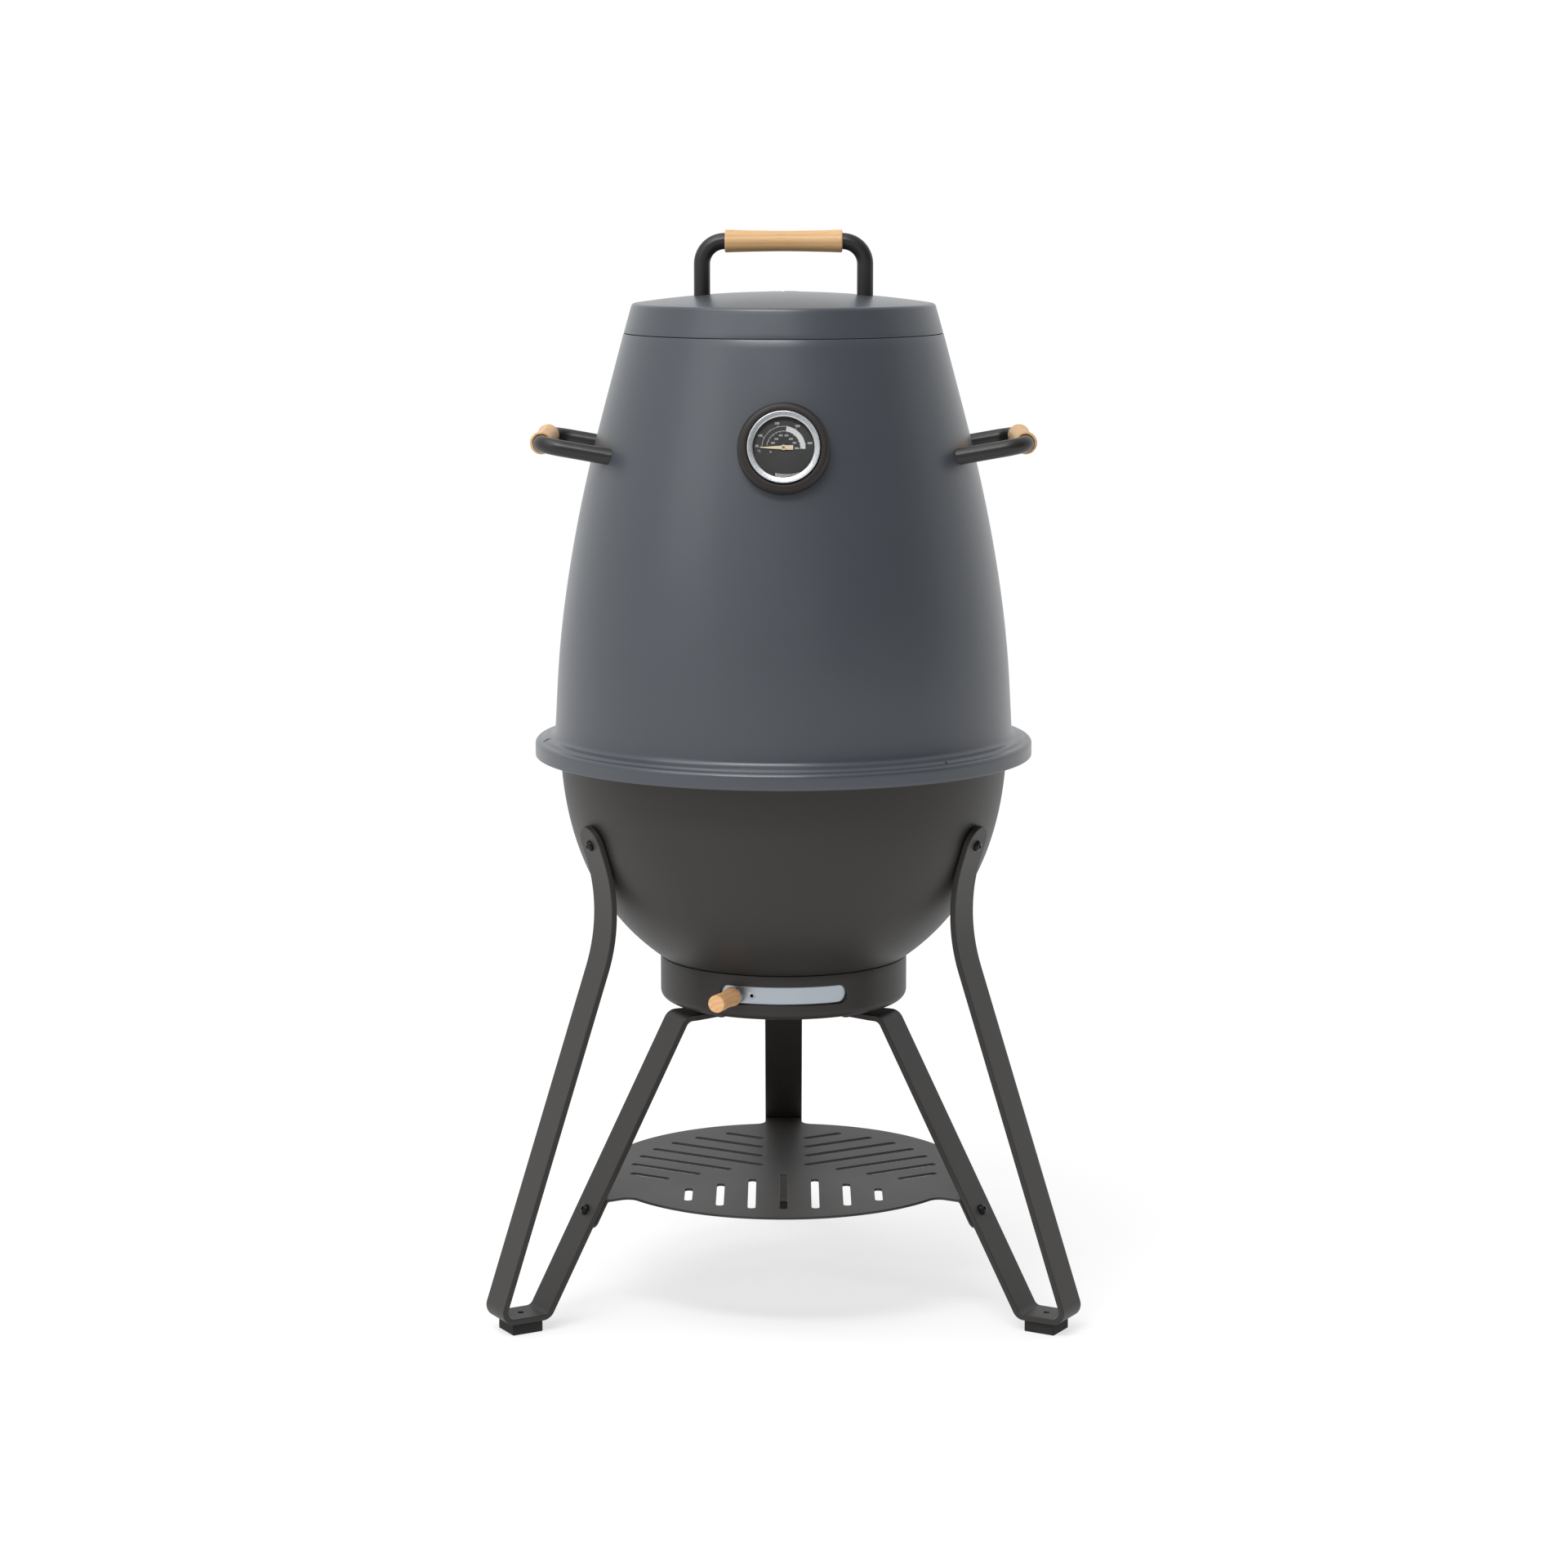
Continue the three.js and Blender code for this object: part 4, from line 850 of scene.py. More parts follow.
def button_screw(head, height, shank, length, socket=2.1):
    """Button head upward from z = 0 with a hexagon socket, threaded shank downward."""
    n = 48
    ang = [360.0 * i / n for i in range(n)]
    rows = []                                           # each a function of angle -> (r, z)
    rows.append(lambda a: (0.0, -length))
    for r, z in ((shank * 0.62, -length), (shank * 0.97, -length + 0.9)):
        rows.append(lambda a, r=r, z=z: (r, z))
    z = -length + 1.4
    while z < -0.9:                                     # rings of a thread
        rows.append(lambda a, z=z: (shank * 0.90, z))
        rows.append(lambda a, z=z: (shank, z + 0.35))
        z += 0.8
    rows.append(lambda a: (shank * 0.97, 0.0))
    rows.append(lambda a: (head * 0.97, 0.0))
    rows.append(lambda a: (head, 0.16))
    rows.append(lambda a: (head, 0.42))
    top = head * 0.50
    for f in np.linspace(0.12, 1.0, 8):
        g = f * math.pi / 2
        rows.append(lambda a, g=g: (top + (head - top) * math.cos(g), 0.42 + (height - 0.42) * math.sin(g)))
    rows.append(lambda a: (socket * 1.22, height))
    rows.append(lambda a: (hex_r(a, socket) + 0.14, height - 0.02))
    rows.append(lambda a: (hex_r(a, socket), height - 0.2))
    rows.append(lambda a: (hex_r(a, socket), height * 0.40))
    rows.append(lambda a: (0.0, height * 0.28))
    verts, idx = [], []
    for k, row in enumerate(rows):
        if k in (0, len(rows) - 1):
            idx.append([len(verts)])
            verts.append((0, 0, row(0)[1]))
            continue
        cur = []
        for a in ang:
            r, z = row(a)
            cur.append(len(verts))
            verts.append((r * math.cos(rad(a)), r * math.sin(rad(a)), z))
        idx.append(cur)
    faces = []
    for a, b in zip(idx, idx[1:]):
        for i in range(n):
            j = (i + 1) % n
            if len(a) == 1:
                faces.append((a[0], b[i], b[j]))
            elif len(b) == 1:
                faces.append((a[i], a[j], b[0]))
            else:
                faces.append((a[i], a[j], b[j], b[i]))
    return verts, faces


def hex_nut(corner_r, bore, z0, z1):
    n = 48
    a_ = [360.0 * i / n for i in range(n)]
    flat = corner_r * math.cos(rad(30))
    rows = [lambda a: (bore, z0 + 0.3), lambda a: (bore + 0.3, z0), lambda a: (flat * 0.97, z0),
            lambda a: (min(hex_r(a, corner_r), flat * 1.07), z0 + 0.35), lambda a: (hex_r(a, corner_r), z0 + 0.9),
            lambda a: (hex_r(a, corner_r), z1 - 0.9), lambda a: (min(hex_r(a, corner_r), flat * 1.07), z1 - 0.35),
            lambda a: (flat * 0.97, z1), lambda a: (bore + 0.3, z1), lambda a: (bore, z1 - 0.3)]
    verts, faces = [], []
    for row in rows:
        for a in a_:
            r, z = row(a)
            verts.append((r * math.cos(rad(a)), r * math.sin(rad(a)), z))
    k = len(rows)
    for i in range(k):
        for j in range(n):
            j2 = (j + 1) % n
            a, b = i * n, ((i + 1) % k) * n
            faces.append((a + j, a + j2, b + j2, b + j))
    return verts, faces


# ------------------------------------------------------------------ legs
h = LEG_T / 2
tilt1, tilt0, tilt2 = rad(19.1), rad(17.7), rad(29.0)
ARC_R, arc_c = 175.0, (210.4 + 175.0, 421.0)
top_pt = (arc_c[0] - ARC_R * math.cos(tilt0), arc_c[1] + ARC_R * math.sin(tilt0))
low_pt = (arc_c[0] - ARC_R * math.cos(tilt1), arc_c[1] - ARC_R * math.sin(tilt1))
d_top, d_out, d_in = (math.sin(tilt0), math.cos(tilt0)), (math.sin(tilt1), -math.cos(tilt1)), (-math.sin(tilt2), math.cos(tilt2))
c_top = (top_pt[0] - h * math.cos(tilt0), top_pt[1] + h * math.sin(tilt0))
c_out = (low_pt[0] - h * math.cos(tilt1), low_pt[1] - h * math.sin(tilt1))
c_in = (144.2 + h * math.cos(tilt2), 262.7 + h * math.sin(tilt2))
FLAT_Z, TAB_Z = PAD_H + GAP + h, DRUM_BASE - GAP - h - 0.2
BOLT_TOP_Z, TAB_END, SHELF_BOLT_Z, DRUM_BOLT_RHO = 491.0, 60.0, 113.4, 74.0
bank_top = (c_top[0] + d_top[0] * (512.2 - c_top[1]) / d_top[1], 512.2)
LEG_PATH = rounded([(*bank_top, 0), (*meet(c_top, d_top, c_out, d_out), ARC_R + h), (*meet(c_out, d_out, (0, FLAT_Z), (1, 0)), 10.5),
                    (*meet(c_in, d_in, (0, FLAT_Z), (1, 0)), 10.5), (*meet(c_in, d_in, (0, TAB_Z), (1, 0)), 11.0), (TAB_END, TAB_Z, 0)], 2.5)


class Bent:
    """A flat strip bent along a path: s runs along the path, h to the left of travel."""

    def __init__(self, path):
        self.p = np.array(path, float)
        self.s = lengths(path)
        d = np.diff(self.p, axis=0)
        ln = np.linalg.norm(d, axis=1)
        d = d / ln[:, None]
        a, b = np.vstack([d[:1], d]), np.vstack([d, d[-1:]])
        # at the ends of an arc the long straight side decides the direction
        la, lb = np.concatenate([ln[:1], ln]), np.concatenate([ln, ln[-1:]])
        t = np.where((la > 3 * lb)[:, None], a, np.where((lb > 3 * la)[:, None], b, a + b))
        t = t / np.linalg.norm(t, axis=1)[:, None]
        self.n = np.stack([-t[:, 1], t[:, 0]], 1)

    def at(self, s, hh):
        r = np.interp(s, self.s, self.p[:, 0]) + np.interp(s, self.s, self.n[:, 0]) * hh
        z = np.interp(s, self.s, self.p[:, 1]) + np.interp(s, self.s, self.n[:, 1]) * hh
        lo, hi = np.minimum(s - self.s[0], 0), np.maximum(s - self.s[-1], 0)
        t0, t1 = (self.n[0][1], -self.n[0][0]), (self.n[-1][1], -self.n[-1][0])
        return r + lo * t0[0] + hi * t1[0], z + lo * t0[1] + hi * t1[1]


bent = Bent(LEG_PATH)
s_bolt = (512.2 - BOLT_TOP_Z) / math.cos(tilt0)
s_end = float(bent.s[-1])
s_taper = s_end - (112.0 - TAB_END)
mids = [float(x) for x in bent.s if s_bolt + 1.0 < x < s_taper - 0.5]
long_gaps = []
for a, b in zip([s_bolt] + mids, mids + [s_taper]):
    n = int((b - a) // 24)
    long_gaps += [a + (b - a) * i / (n + 1) for i in range(1, n + 1)]
mids = sorted(mids + long_gaps)
side = mids + [s_taper]
hw = LEG_W / 2
end_w = 9.0 + (TAB_END - 55.0) / 57.0 * 11.0
right = [(s, hw) for s in side] + rounded([(s_taper, hw, 0), (s_end, end_w, 3.0), (s_end, -end_w, 3.0), (s_taper, -hw, 0)], 15)[1:-1]
left = [(s, -hw) for s in side[::-1]]
cap_pts = [(s_bolt - hw * math.sin(f), -hw * math.cos(f)) for f in np.linspace(0, math.pi, 33)]
outline = right + left + cap_pts
n_right, n_side = len(right), len(side)
leg_cuts = [((0, i), (0, n_right + (n_side - 1 - i))) for i in range(n_side)]


def circle(cx, cy, r, n=28):
    return [(cx + r * math.cos(2 * math.pi * k / n), cy + r * math.sin(2 * math.pi * k / n)) for k in range(n)]


s_foot = None
flat_i = [i for i in range(len(bent.p) - 1) if abs(bent.p[i][1] - FLAT_Z) < 0.05 and abs(bent.p[i + 1][1] - FLAT_Z) < 0.05 and abs(bent.s[i + 1] - bent.s[i]) > 3][0]
s_foot = float(bent.s[flat_i] + abs(PAD_RHO - bent.p[flat_i][0]))
leg_cuts = [c for c in leg_cuts if abs(side[c[0][1]] - s_foot) > 4.5]


def leg_place(x, y, hh):
    r, z = bent.at(x, hh)
    return np.stack([r, y, z], 1)


LEG = plate([outline, circle(s_foot, 0, 2.9)], LEG_T, 0.95, leg_place, leg_cuts, steps=4)


def on_top(z):
    return c_top[0] + d_top[0] * (z - c_top[1]) / d_top[1]


def on_in(z):
    return c_in[0] + d_in[0] * (z - c_in[1]) / d_in[1]


top_n = (math.cos(tilt0), 0, -math.sin(tilt0))
in_n = (math.cos(tilt2), 0, math.sin(tilt2))
top_o, in_o = (on_top(BOLT_TOP_Z), 0, BOLT_TOP_Z), (on_in(SHELF_BOLT_Z), 0, SHELF_BOLT_Z)


def out_from(o, n, d):
    return (o[0] + n[0] * d, 0, o[2] + n[2] * d)


pad_loop = rounded([(-PAD / 2, -PAD / 2, 1.6), (PAD / 2, -PAD / 2, 1.6), (PAD / 2, PAD / 2, 1.6), (-PAD / 2, PAD / 2, 1.6)], 15, closed=True)


def pad_place(x, y, hh):
    return np.stack([x + PAD_RHO, y, hh + PAD_H / 2], 1)


# bracket inside the bowl
ow = [(bowl_inner_r(z) - 0.45, z) for z in np.linspace(478, 562, 19)]
iw = offset(ow, 2.2)
iw_r = lambda z: float(np.interp(z, [p[1] for p in iw], [p[0] for p in iw]))
bracket_loop = [tuple(p) for p in ow] + rounded(
    [(ow[-1][0], 562, 0), (ow[-1][0] - 22, 562, 0.8), (ow[-1][0] - 22, 559.8, 0.8), (iw_r(559.8), 559.8, 1.2), (iw_r(556), 556, 0)], 18)[1:] \
    + [(r, z) for r, z in iw[::-1] if 514 < z < 554] + rounded(
    [(iw_r(513.5), 513.5, 0), (iw_r(509.2), 509.2, 1.2), (179, 509.2, 0.8), (179, 506.8, 0.8), (iw_r(506.8), 506.8, 1.2), (iw_r(503), 503, 0)], 18) \
    + [(r, z) for r, z in iw[::-1] if z < 501.5]

for side_name, az in LEG_AZ.items():
    m = spin(az)
    piece(f"leg_bar_{side_name}", LEG, GREY, "stand", [f"leg_{side_name}"], m, flats=True)
    pad_solid = Solid().add(*plate([pad_loop], PAD_H, 0.9, pad_place, steps=3))
    pad_solid.add(*lathe([(0, 10.9), (2.5, 10.9), (2.5, 16.2), (2.2, 16.6), (0, 16.9)], 28), m=Matrix.Translation((PAD_RHO, 0, 0)))
    piece(f"foot_{side_name}", pad_solid, RUBBER, "stand", [f"foot_pad_{side_name}"], m, flats=True)
    sc = button_screw(5.6, 3.6, 3.0, 15.2)
    piece(f"leg_screw_{side_name}", sc, BOLT, "stand", [f"leg_bolt_{side_name}"],
          m @ frame_at(out_from(top_o, top_n, h + GAP), top_n, (0, 1, 0)))
    piece(f"shelf_screw_{side_name}", sc, BOLT, "stand", [f"shelf_bolt_{side_name}"],
          m @ frame_at(out_from(in_o, in_n, h + GAP), in_n, (0, 1, 0)))
    piece(f"drum_screw_{side_name}", sc, BOLT, "stand", [f"drum_bolt_{side_name}"],
          m @ frame_at((DRUM_BOLT_RHO, 0, TAB_Z - h - GAP), (0, 0, -1), (0, 1, 0)))
    br = Solid().add(*plate([bracket_loop], 24.0, 0.5, lambda x, y, hh: np.stack([x, hh, y], 1), steps=2))
    br.add(*hex_nut(6.2, 3.1, -12.2, -8.0), m=frame_at(out_from(top_o, top_n, -0.1), top_n, (0, 1, 0)))
    piece(f"bracket_{side_name}", br, STEEL, "stand", [f"grate_bracket_{side_name}"], m, flats=True)

# ------------------------------------------------------------------ shelf
wing_mid = SHELF_Z - SHELF_T / 2
low_face = (c_in[0] - (h + 0.45 + SHELF_T / 2) * math.cos(tilt2), c_in[1] - (h + 0.45 + SHELF_T / 2) * math.sin(tilt2))
tab_corner = meet(low_face, d_in, (0, wing_mid), (1, 0))
tab_low = (tab_corner[0] - d_in[0] * 27 / d_in[1], tab_corner[1] - 27)
WING_PATH = rounded([(150, wing_mid, 0), (*tab_corner, 4.0), (*tab_low, 0)], 7.5)
wing = Bent(WING_PATH)
wing_len = float(wing.s[-1])
wing_az = [30.0, 150.0, 270.0]             # plan angles from +X, shelf-local, before turning to the legs
shelf_outline, shelf_cuts = [], []
for az in (-30.0, 90.0, 210.0):
    a0 = rad(az)
    turn = lambda p, q, a0=a0: (p * math.cos(a0) - q * math.sin(a0), p * math.sin(a0) + q * math.cos(a0))
    f = 12.0
    cx = math.sqrt((SHELF_R + f) ** 2 - (hw + f) ** 2)
    b = math.atan2(hw + f, cx)
    right_arc = [(cx + f * math.cos(t), hw + f + f * math.sin(t)) for t in np.linspace(b + math.pi, 1.5 * math.pi, 9)]
    steps_s = [float(x) + 150.0 for x in wing.s[1:-1]]
    sides = sorted(steps_s)
    tip = 150.0 + wing_len
    tip_side = rounded([(sides[-1], -hw, 0), (tip, -hw, 7.0), (tip, hw, 7.0), (sides[-1], hw, 0)], 12)[1:-1]
    start = len(shelf_outline)
    pts = [(x, -y) for x, y in right_arc] + [(x, -hw) for x in sides if x > cx + 0.5] + tip_side \
        + [(x, hw) for x in sides[::-1] if x > cx + 0.5] + right_arc[::-1]
    used = [x for x in sides if x > cx + 0.5]
    k_low, k_high = start + len(right_arc), start + len(right_arc) + len(used) + len(tip_side)
    shelf_cuts += [((0, k_low + i), (0, k_high + len(used) - 1 - i)) for i in range(len(used))]
    shelf_outline += [turn(*p) for p in pts]
    shelf_outline += [turn(SHELF_R * math.cos(t), SHELF_R * math.sin(t)) for t in np.linspace(b, rad(120) - b, 62)[1:-1]]


def stadium(x, y0, y1, w):
    r, pts = w / 2, []
    pts += [(x + r * math.cos(t), -y0 - r + r * math.sin(t)) for t in np.linspace(0, math.pi, 13)]
    pts += [(x + r * math.cos(t), -y1 + r + r * math.sin(t)) for t in np.linspace(math.pi, 2 * math.pi, 13)]
    return pts


shelf_holes = []
for k in range(3):
    for i, off in enumerate(SLOT_OFFSETS):
        for s in ((-1, 1) if off else (1,)):
            far = math.sqrt(SLOT_OUT_R ** 2 - off ** 2)
            c, sn = math.cos(rad(120 * k)), math.sin(rad(120 * k))
            shelf_holes.append([(x * c - y * sn, x * sn + y * c) for x, y in stadium(s * off, SLOT_IN[i], far, SLOT_W)])


def shelf_place(x, y, hh):
    out = np.stack([x, y, wing_mid + hh], 1)
    for az in (-30.0, 90.0, 210.0):
        c, sn = math.cos(rad(az)), math.sin(rad(az))
        p, q = x * c + y * sn, -x * sn + y * c
        k = (p > 160.0) & (np.abs(q) < hw + 0.5)
        r, z = wing.at(p[k] - 150.0, hh[k])
        out[k] = np.stack([r * c - q[k] * sn, r * sn + q[k] * c, z], 1)
    return out


shelf_solid = Solid().add(*plate([shelf_outline] + shelf_holes, SHELF_T, 0.28, shelf_place, shelf_cuts, steps=3))
for az in LEG_AZ.values():
    shelf_solid.add(*hex_nut(5.8, 3.1, -9.9, -6.3), m=spin(az) @ frame_at(in_o, in_n, (0, 1, 0)))
piece("shelf_plate", shelf_solid, GREY, "stand", ["shelf"], flats=True)


# ------------------------------------------------------------------ grates and water pan
def grate(solid, ring_r, z, wire, pitch, bar):
    ring = [(ring_r + wire / 2 * math.cos(f), z + wire / 2 * math.sin(f)) for f in np.linspace(0, 2 * math.pi, 21)[:-1]]
    solid.add(*lathe(ring, 144, closed=True))
    n = int((ring_r - wire) // pitch)
    for i in range(-n, n + 1):
        half = math.sqrt(ring_r ** 2 - (i * pitch) ** 2) - 0.6
        solid.add(*rod((i * pitch, -half, z), (i * pitch, half, z), bar / 2, 16))
    return solid


piece("charcoal_rack", grate(Solid(), 154, 398, 7, 15, 6), STEEL, "stand", ["charcoal_grate"])
piece("lower_cooking_grate", grate(Solid(), 216, 566, 6.6, 20, 5), GRATE, "stand", ["lower_grate"])
rack = grate(Solid(), 166, 705, 6.6, 18, 5)
for a in (30, 150, 270):
    x, y = 166 * math.cos(rad(a)), 166 * math.sin(rad(a))
    rack.add(*rod((x, y, 570.2), (x, y, 704.0), 3.0, 20, 0.7))
piece("upper_cooking_grate", rack, GRATE, "stand", ["upper_grate"])
PAN_Z = 508 + 1.2 + GAP
pan_out = rounded([(0, PAN_Z - 40, 0), (147, PAN_Z - 40, 8), (176, PAN_Z, 3.0), (185.6, PAN_Z, 0)], 9)
pan_out = spaced(pan_out, 14)
pan_in = offset(pan_out, 1.8)
pan_in[0] = (0.0, PAN_Z - 38.2)
o, q = ends(pan_out, pan_in, 0, 0.4)
piece("water_bowl", shell(o, q, columns(180), closed=False), GREY, "stand", ["water_pan"])

# ------------------------------------------------------------------ air slider
band_a0, band_a1, band_mid = -80.0, 33.5, 123.05
band_z = (327.2, 349.1)


def band_place(x, y, hh):
    a = np.radians(x / band_mid * 180.0 / math.pi)
    return np.stack([(band_mid + hh) * np.sin(a), -(band_mid + hh) * np.cos(a), y], 1)


def bx(deg):
    return deg * math.pi / 180.0 * band_mid


band_corners = rounded([(bx(band_a0), band_z[0], 2.0), (bx(band_a1), band_z[0], 2.0), (bx(band_a1), band_z[1], 2.0),
                        (bx(band_a0), band_z[1], 2.0)], 12, closed=True)
band_loop = []
for i, p in enumerate(band_corners):
    nxt = band_corners[(i + 1) % len(band_corners)]
    n = max(1, int(math.hypot(nxt[0] - p[0], nxt[1] - p[1]) // 3.0))
    band_loop += [(p[0] + (nxt[0] - p[0]) * k / n, p[1] + (nxt[1] - p[1]) * k / n) for k in range(n)]
band_holes = []
for a in (-70, -55, -40):
    w = rounded([(bx(a - 5.5), 332.25, 3.0), (bx(a + 5.5), 332.25, 3.0), (bx(a + 5.5), 344.25, 3.0), (bx(a - 5.5), 344.25, 3.0)], 15, closed=True)
    band_holes.append(w)
band_holes.append(circle(bx(KNOB_DEG), KNOB_Z, 2.75, 20))
band_holes.append(circle(bx(-15.0), 338.0, 1.6, 18))
extra = []
for a in np.arange(band_a0 + 1.5, band_a1 - 1.0, 1.5):
    for z in (331.0, 334.6, 338.2, 341.8, 345.4):
        p = (bx(float(a)), z)
        near = any(abs(p[0] - np.mean([q[0] for q in hl])) < (max(q[0] for q in hl) - min(q[0] for q in hl)) / 2 + 0.9 and
                   abs(z - np.mean([q[1] for q in hl])) < (max(q[1] for q in hl) - min(q[1] for q in hl)) / 2 + 0.9 for hl in band_holes)
        if not near:
            extra.append(p)
piece("air_slide_band", plate([band_loop] + band_holes, 2.3, 0.35, band_place, extra=extra, steps=2), STEEL,
      "air_slider", ["air_band"])
kd = (math.sin(rad(KNOB_DEG)), -math.cos(rad(KNOB_DEG)), 0)
stud_m = frame_at((0, 0, KNOB_Z), kd, (0, 0, 1))
piece("slide_stud", lathe([(0, 118.2)] + rounded([(3.9, 118.2, 0), (4.6, 118.7, 0.4), (4.6, 120.8, 0)], 20) +
                          [(2.5, 120.8), (2.5, 159.4), (2.1, 160.0), (0, 160.0)], 40), STEEL, "air_slider", ["slider_stud"], stud_m)
piece("slide_spacer", lathe(rounded([(2.9, 124.6, 0.3), (8.2, 124.6, 0.7), (8.2, 131.0, 0.7), (2.9, 131.0, 0.3)], 15, closed=True), 56, closed=True),
      STEEL, "air_slider", ["slider_spacer"], stud_m)
knob = [(0.0, 161.5), (2.9, 161.5), (2.9, 131.7), (3.2, 131.4), (8.9, 131.4)] + \
    rounded([(9.3, 131.45, 0), (9.8, 132.2, 0.5), (9.7, 134.2, 0)], 15) + \
    [(9.35, 138.0), (8.95, 142.0), (8.65, 146.0), (8.5, 150.0), (8.5, 154.0), (8.6, 158.0), (8.72, 162.0), (8.82, 166.0), (8.9, 169.0)] + \
    rounded([(8.92, 170.6, 0), (8.9, 172.6, 1.5), (6.0, 172.6, 0)], 12) + [(3.0, 172.6), (0.0, 172.6)]
piece("slide_knob", lathe(knob, 72), KNOB, "air_slider", ["slider_knob"], stud_m)


# ------------------------------------------------------------------ handles
def coped(m, surface):
    """End callback: runs each point of the end ring along the post until it touches the surface."""
    inv = m.inverted()

    def move(v, d):
        p, q = m @ Vector(v), (m.to_3x3() @ Vector(d)).normalized()
        lo_, hi_ = -30.0, 40.0
        for _ in range(34):
            mid = (lo_ + hi_) / 2
            if surface(p + q * mid) > 0.15:
                lo_ = mid
            else:
                hi_ = mid
        return np.array(inv @ (p + q * lo_))
    return move


def on_hood(p):
    return math.hypot(p.x, p.y) - hood_r(p.z)


def on_dome(p):
    return p.z - dome(math.hypot(p.x, p.y))


def handle_path(reach):
    c, pts = POST_X - BEND_R, []
    for z in np.linspace(-reach, -BEND_R - 4, 7):
        pts.append((-POST_X, 0, float(z)))
    for f in np.linspace(180, 90, 15):
        pts.append((-c + BEND_R * math.cos(rad(f)), 0, -BEND_R + BEND_R * math.sin(rad(f))))
    pts += [(x, 0, 0) for x in np.linspace(-c, c, 7)[1:-1]]
    for f in np.linspace(90, 0, 15):
        pts.append((c + BEND_R * math.cos(rad(f)), 0, -BEND_R + BEND_R * math.sin(rad(f))))
    for z in np.linspace(-BEND_R - 4, -reach, 7):
        pts.append((POST_X, 0, float(z)))
    return pts


HALF = GRIP_L / 2
grip_profile = rounded([(GRIP_BORE, -HALF, 0.35), (GRIP_R, -HALF, 1.5), (GRIP_R - 0.12, -HALF + 5, 0)] +
                       [(GRIP_WAIST + (GRIP_R - GRIP_WAIST) * abs(z / HALF) ** 1.6, float(z), 0) for z in np.linspace(-HALF + 9, HALF - 9, 15)] +
                       [(GRIP_R - 0.12, HALF - 5, 0), (GRIP_R, HALF, 1.5), (GRIP_BORE, HALF, 0.35)], 12, closed=True)
GRIP = lathe(grip_profile, 88, closed=True)
ALONG = Matrix.Rotation(math.pi / 2, 4, "Y")

tl = rad(SIDE_TILT)
for side_name, sx in (("left", -1), ("right", 1)):
    m = frame_at((sx * SIDE_GRIP_X, 0, SIDE_GRIP_Z), (sx * math.cos(tl), 0, math.sin(tl)), (0, sx, 0))
    cope = coped(m, on_hood)
    piece(f"hood_handle_{side_name}", tube(handle_path(60.0), TUBE_R, 48, cope, cope), BLACK, "hood", [f"side_handle_{side_name}"], m)
    piece(f"hood_grip_{side_name}", GRIP, WOOD, "hood", [f"side_grip_{side_name}"],
          m @ ALONG @ Matrix.Rotation(rad(70 if sx > 0 else 215), 4, "Z"))
    for s in (-1, 1):
        end = "front" if (m @ Vector((s * POST_X, 0, 0))).y < 0 else "rear"
        piece(f"hood_screw_{side_name}_{end}", button_screw(5.2, 3.2, 2.5, 26.0, 1.9), BOLT, "hood",
              [f"handle_screw_{side_name}_{end}"],
              m @ Matrix.Translation((s * POST_X, 0, -68.5 - 7.6)) @ Matrix.Rotation(math.pi, 4, "X"))

lid_m = frame_at((0, 0, LID_GRIP_Z), (0, 0, 1))
cope = coped(lid_m, on_dome)
piece("lid_tube", tube(handle_path(48.0), TUBE_R, 48, cope, cope), BLACK, "lid", ["lid_handle"], lid_m)
piece("lid_wood", GRIP, WOOD, "lid", ["lid_grip"], lid_m @ ALONG)
for s, side_name in ((-1, "left"), (1, "right")):
    piece(f"lid_bolt_{side_name}", button_screw(5.2, 3.2, 2.5, 26.0, 1.9), BOLT, "lid", [f"lid_screw_{side_name}"],
          Matrix.Translation((s * POST_X, 0, dome(POST_X) - 4.0)) @ Matrix.Rotation(math.pi, 4, "X"))

# ------------------------------------------------------------------ thermometer
tt = rad(THERMO_TILT)
thermo_m = frame_at((0, -hood_r(THERMO_Z), THERMO_Z), (0, -math.cos(tt), math.sin(tt)))


def cope_h(r, a):
    lo_, hi_ = 6.0, -20.0
    for _ in range(34):
        mid = (lo_ + hi_) / 2
        if on_hood(thermo_m @ Vector((r * math.cos(a), r * math.sin(a), mid))) > 0.15:
            lo_ = mid
        else:
            hi_ = mid
    return lo_


collar_top = rounded([(45, 3.4, 0), (45, 6.4, 3.4), (42.2, 10.9, 2.2), (39.0, 11.2, 0)], 9)[1:] + \
    rounded([(38.0, 11.2, 0), (36.3, 10.9, 0.5), (36.3, 9.4, 0)], 18)
verts, faces, n = [], [], 144
rings = len(collar_top) + 6
for i in range(n):
    a = 2 * math.pi * i / n
    c45, c36 = cope_h(45.0, a), cope_h(36.3, a)
    col = [(36.75, c36), (44.55, c45), (45.0, c45 + 0.45), (45.0, (c45 + 3.4) / 2)] + collar_top + [(36.3, 4.0), (36.3, c36 + 0.45)]
    verts += [(r * math.cos(a), r * math.sin(a), z) for r, z in col]
    rings = len(col)
for i in range(n):
    for k in range(rings):
        a, b = i * rings, ((i + 1) % n) * rings
        faces.append((a + k, a + (k + 1) % rings, b + (k + 1) % rings, b + k))
piece("gauge_collar", (verts, faces), COLLAR, "hood", ["thermo_collar"], thermo_m)
piece("gauge_case", lathe([(0, 0.8)] + rounded([(32, 0.8, 0), (34.6, 0.8, 1.0), (34.6, 12.0, 0.3), (33.5, 12.0, 0.3), (33.5, 2.4, 0.5), (30, 2.4, 0)], 15) + [(0, 2.4)], 128),
      CHROME, "hood", ["thermo_case"], thermo_m)
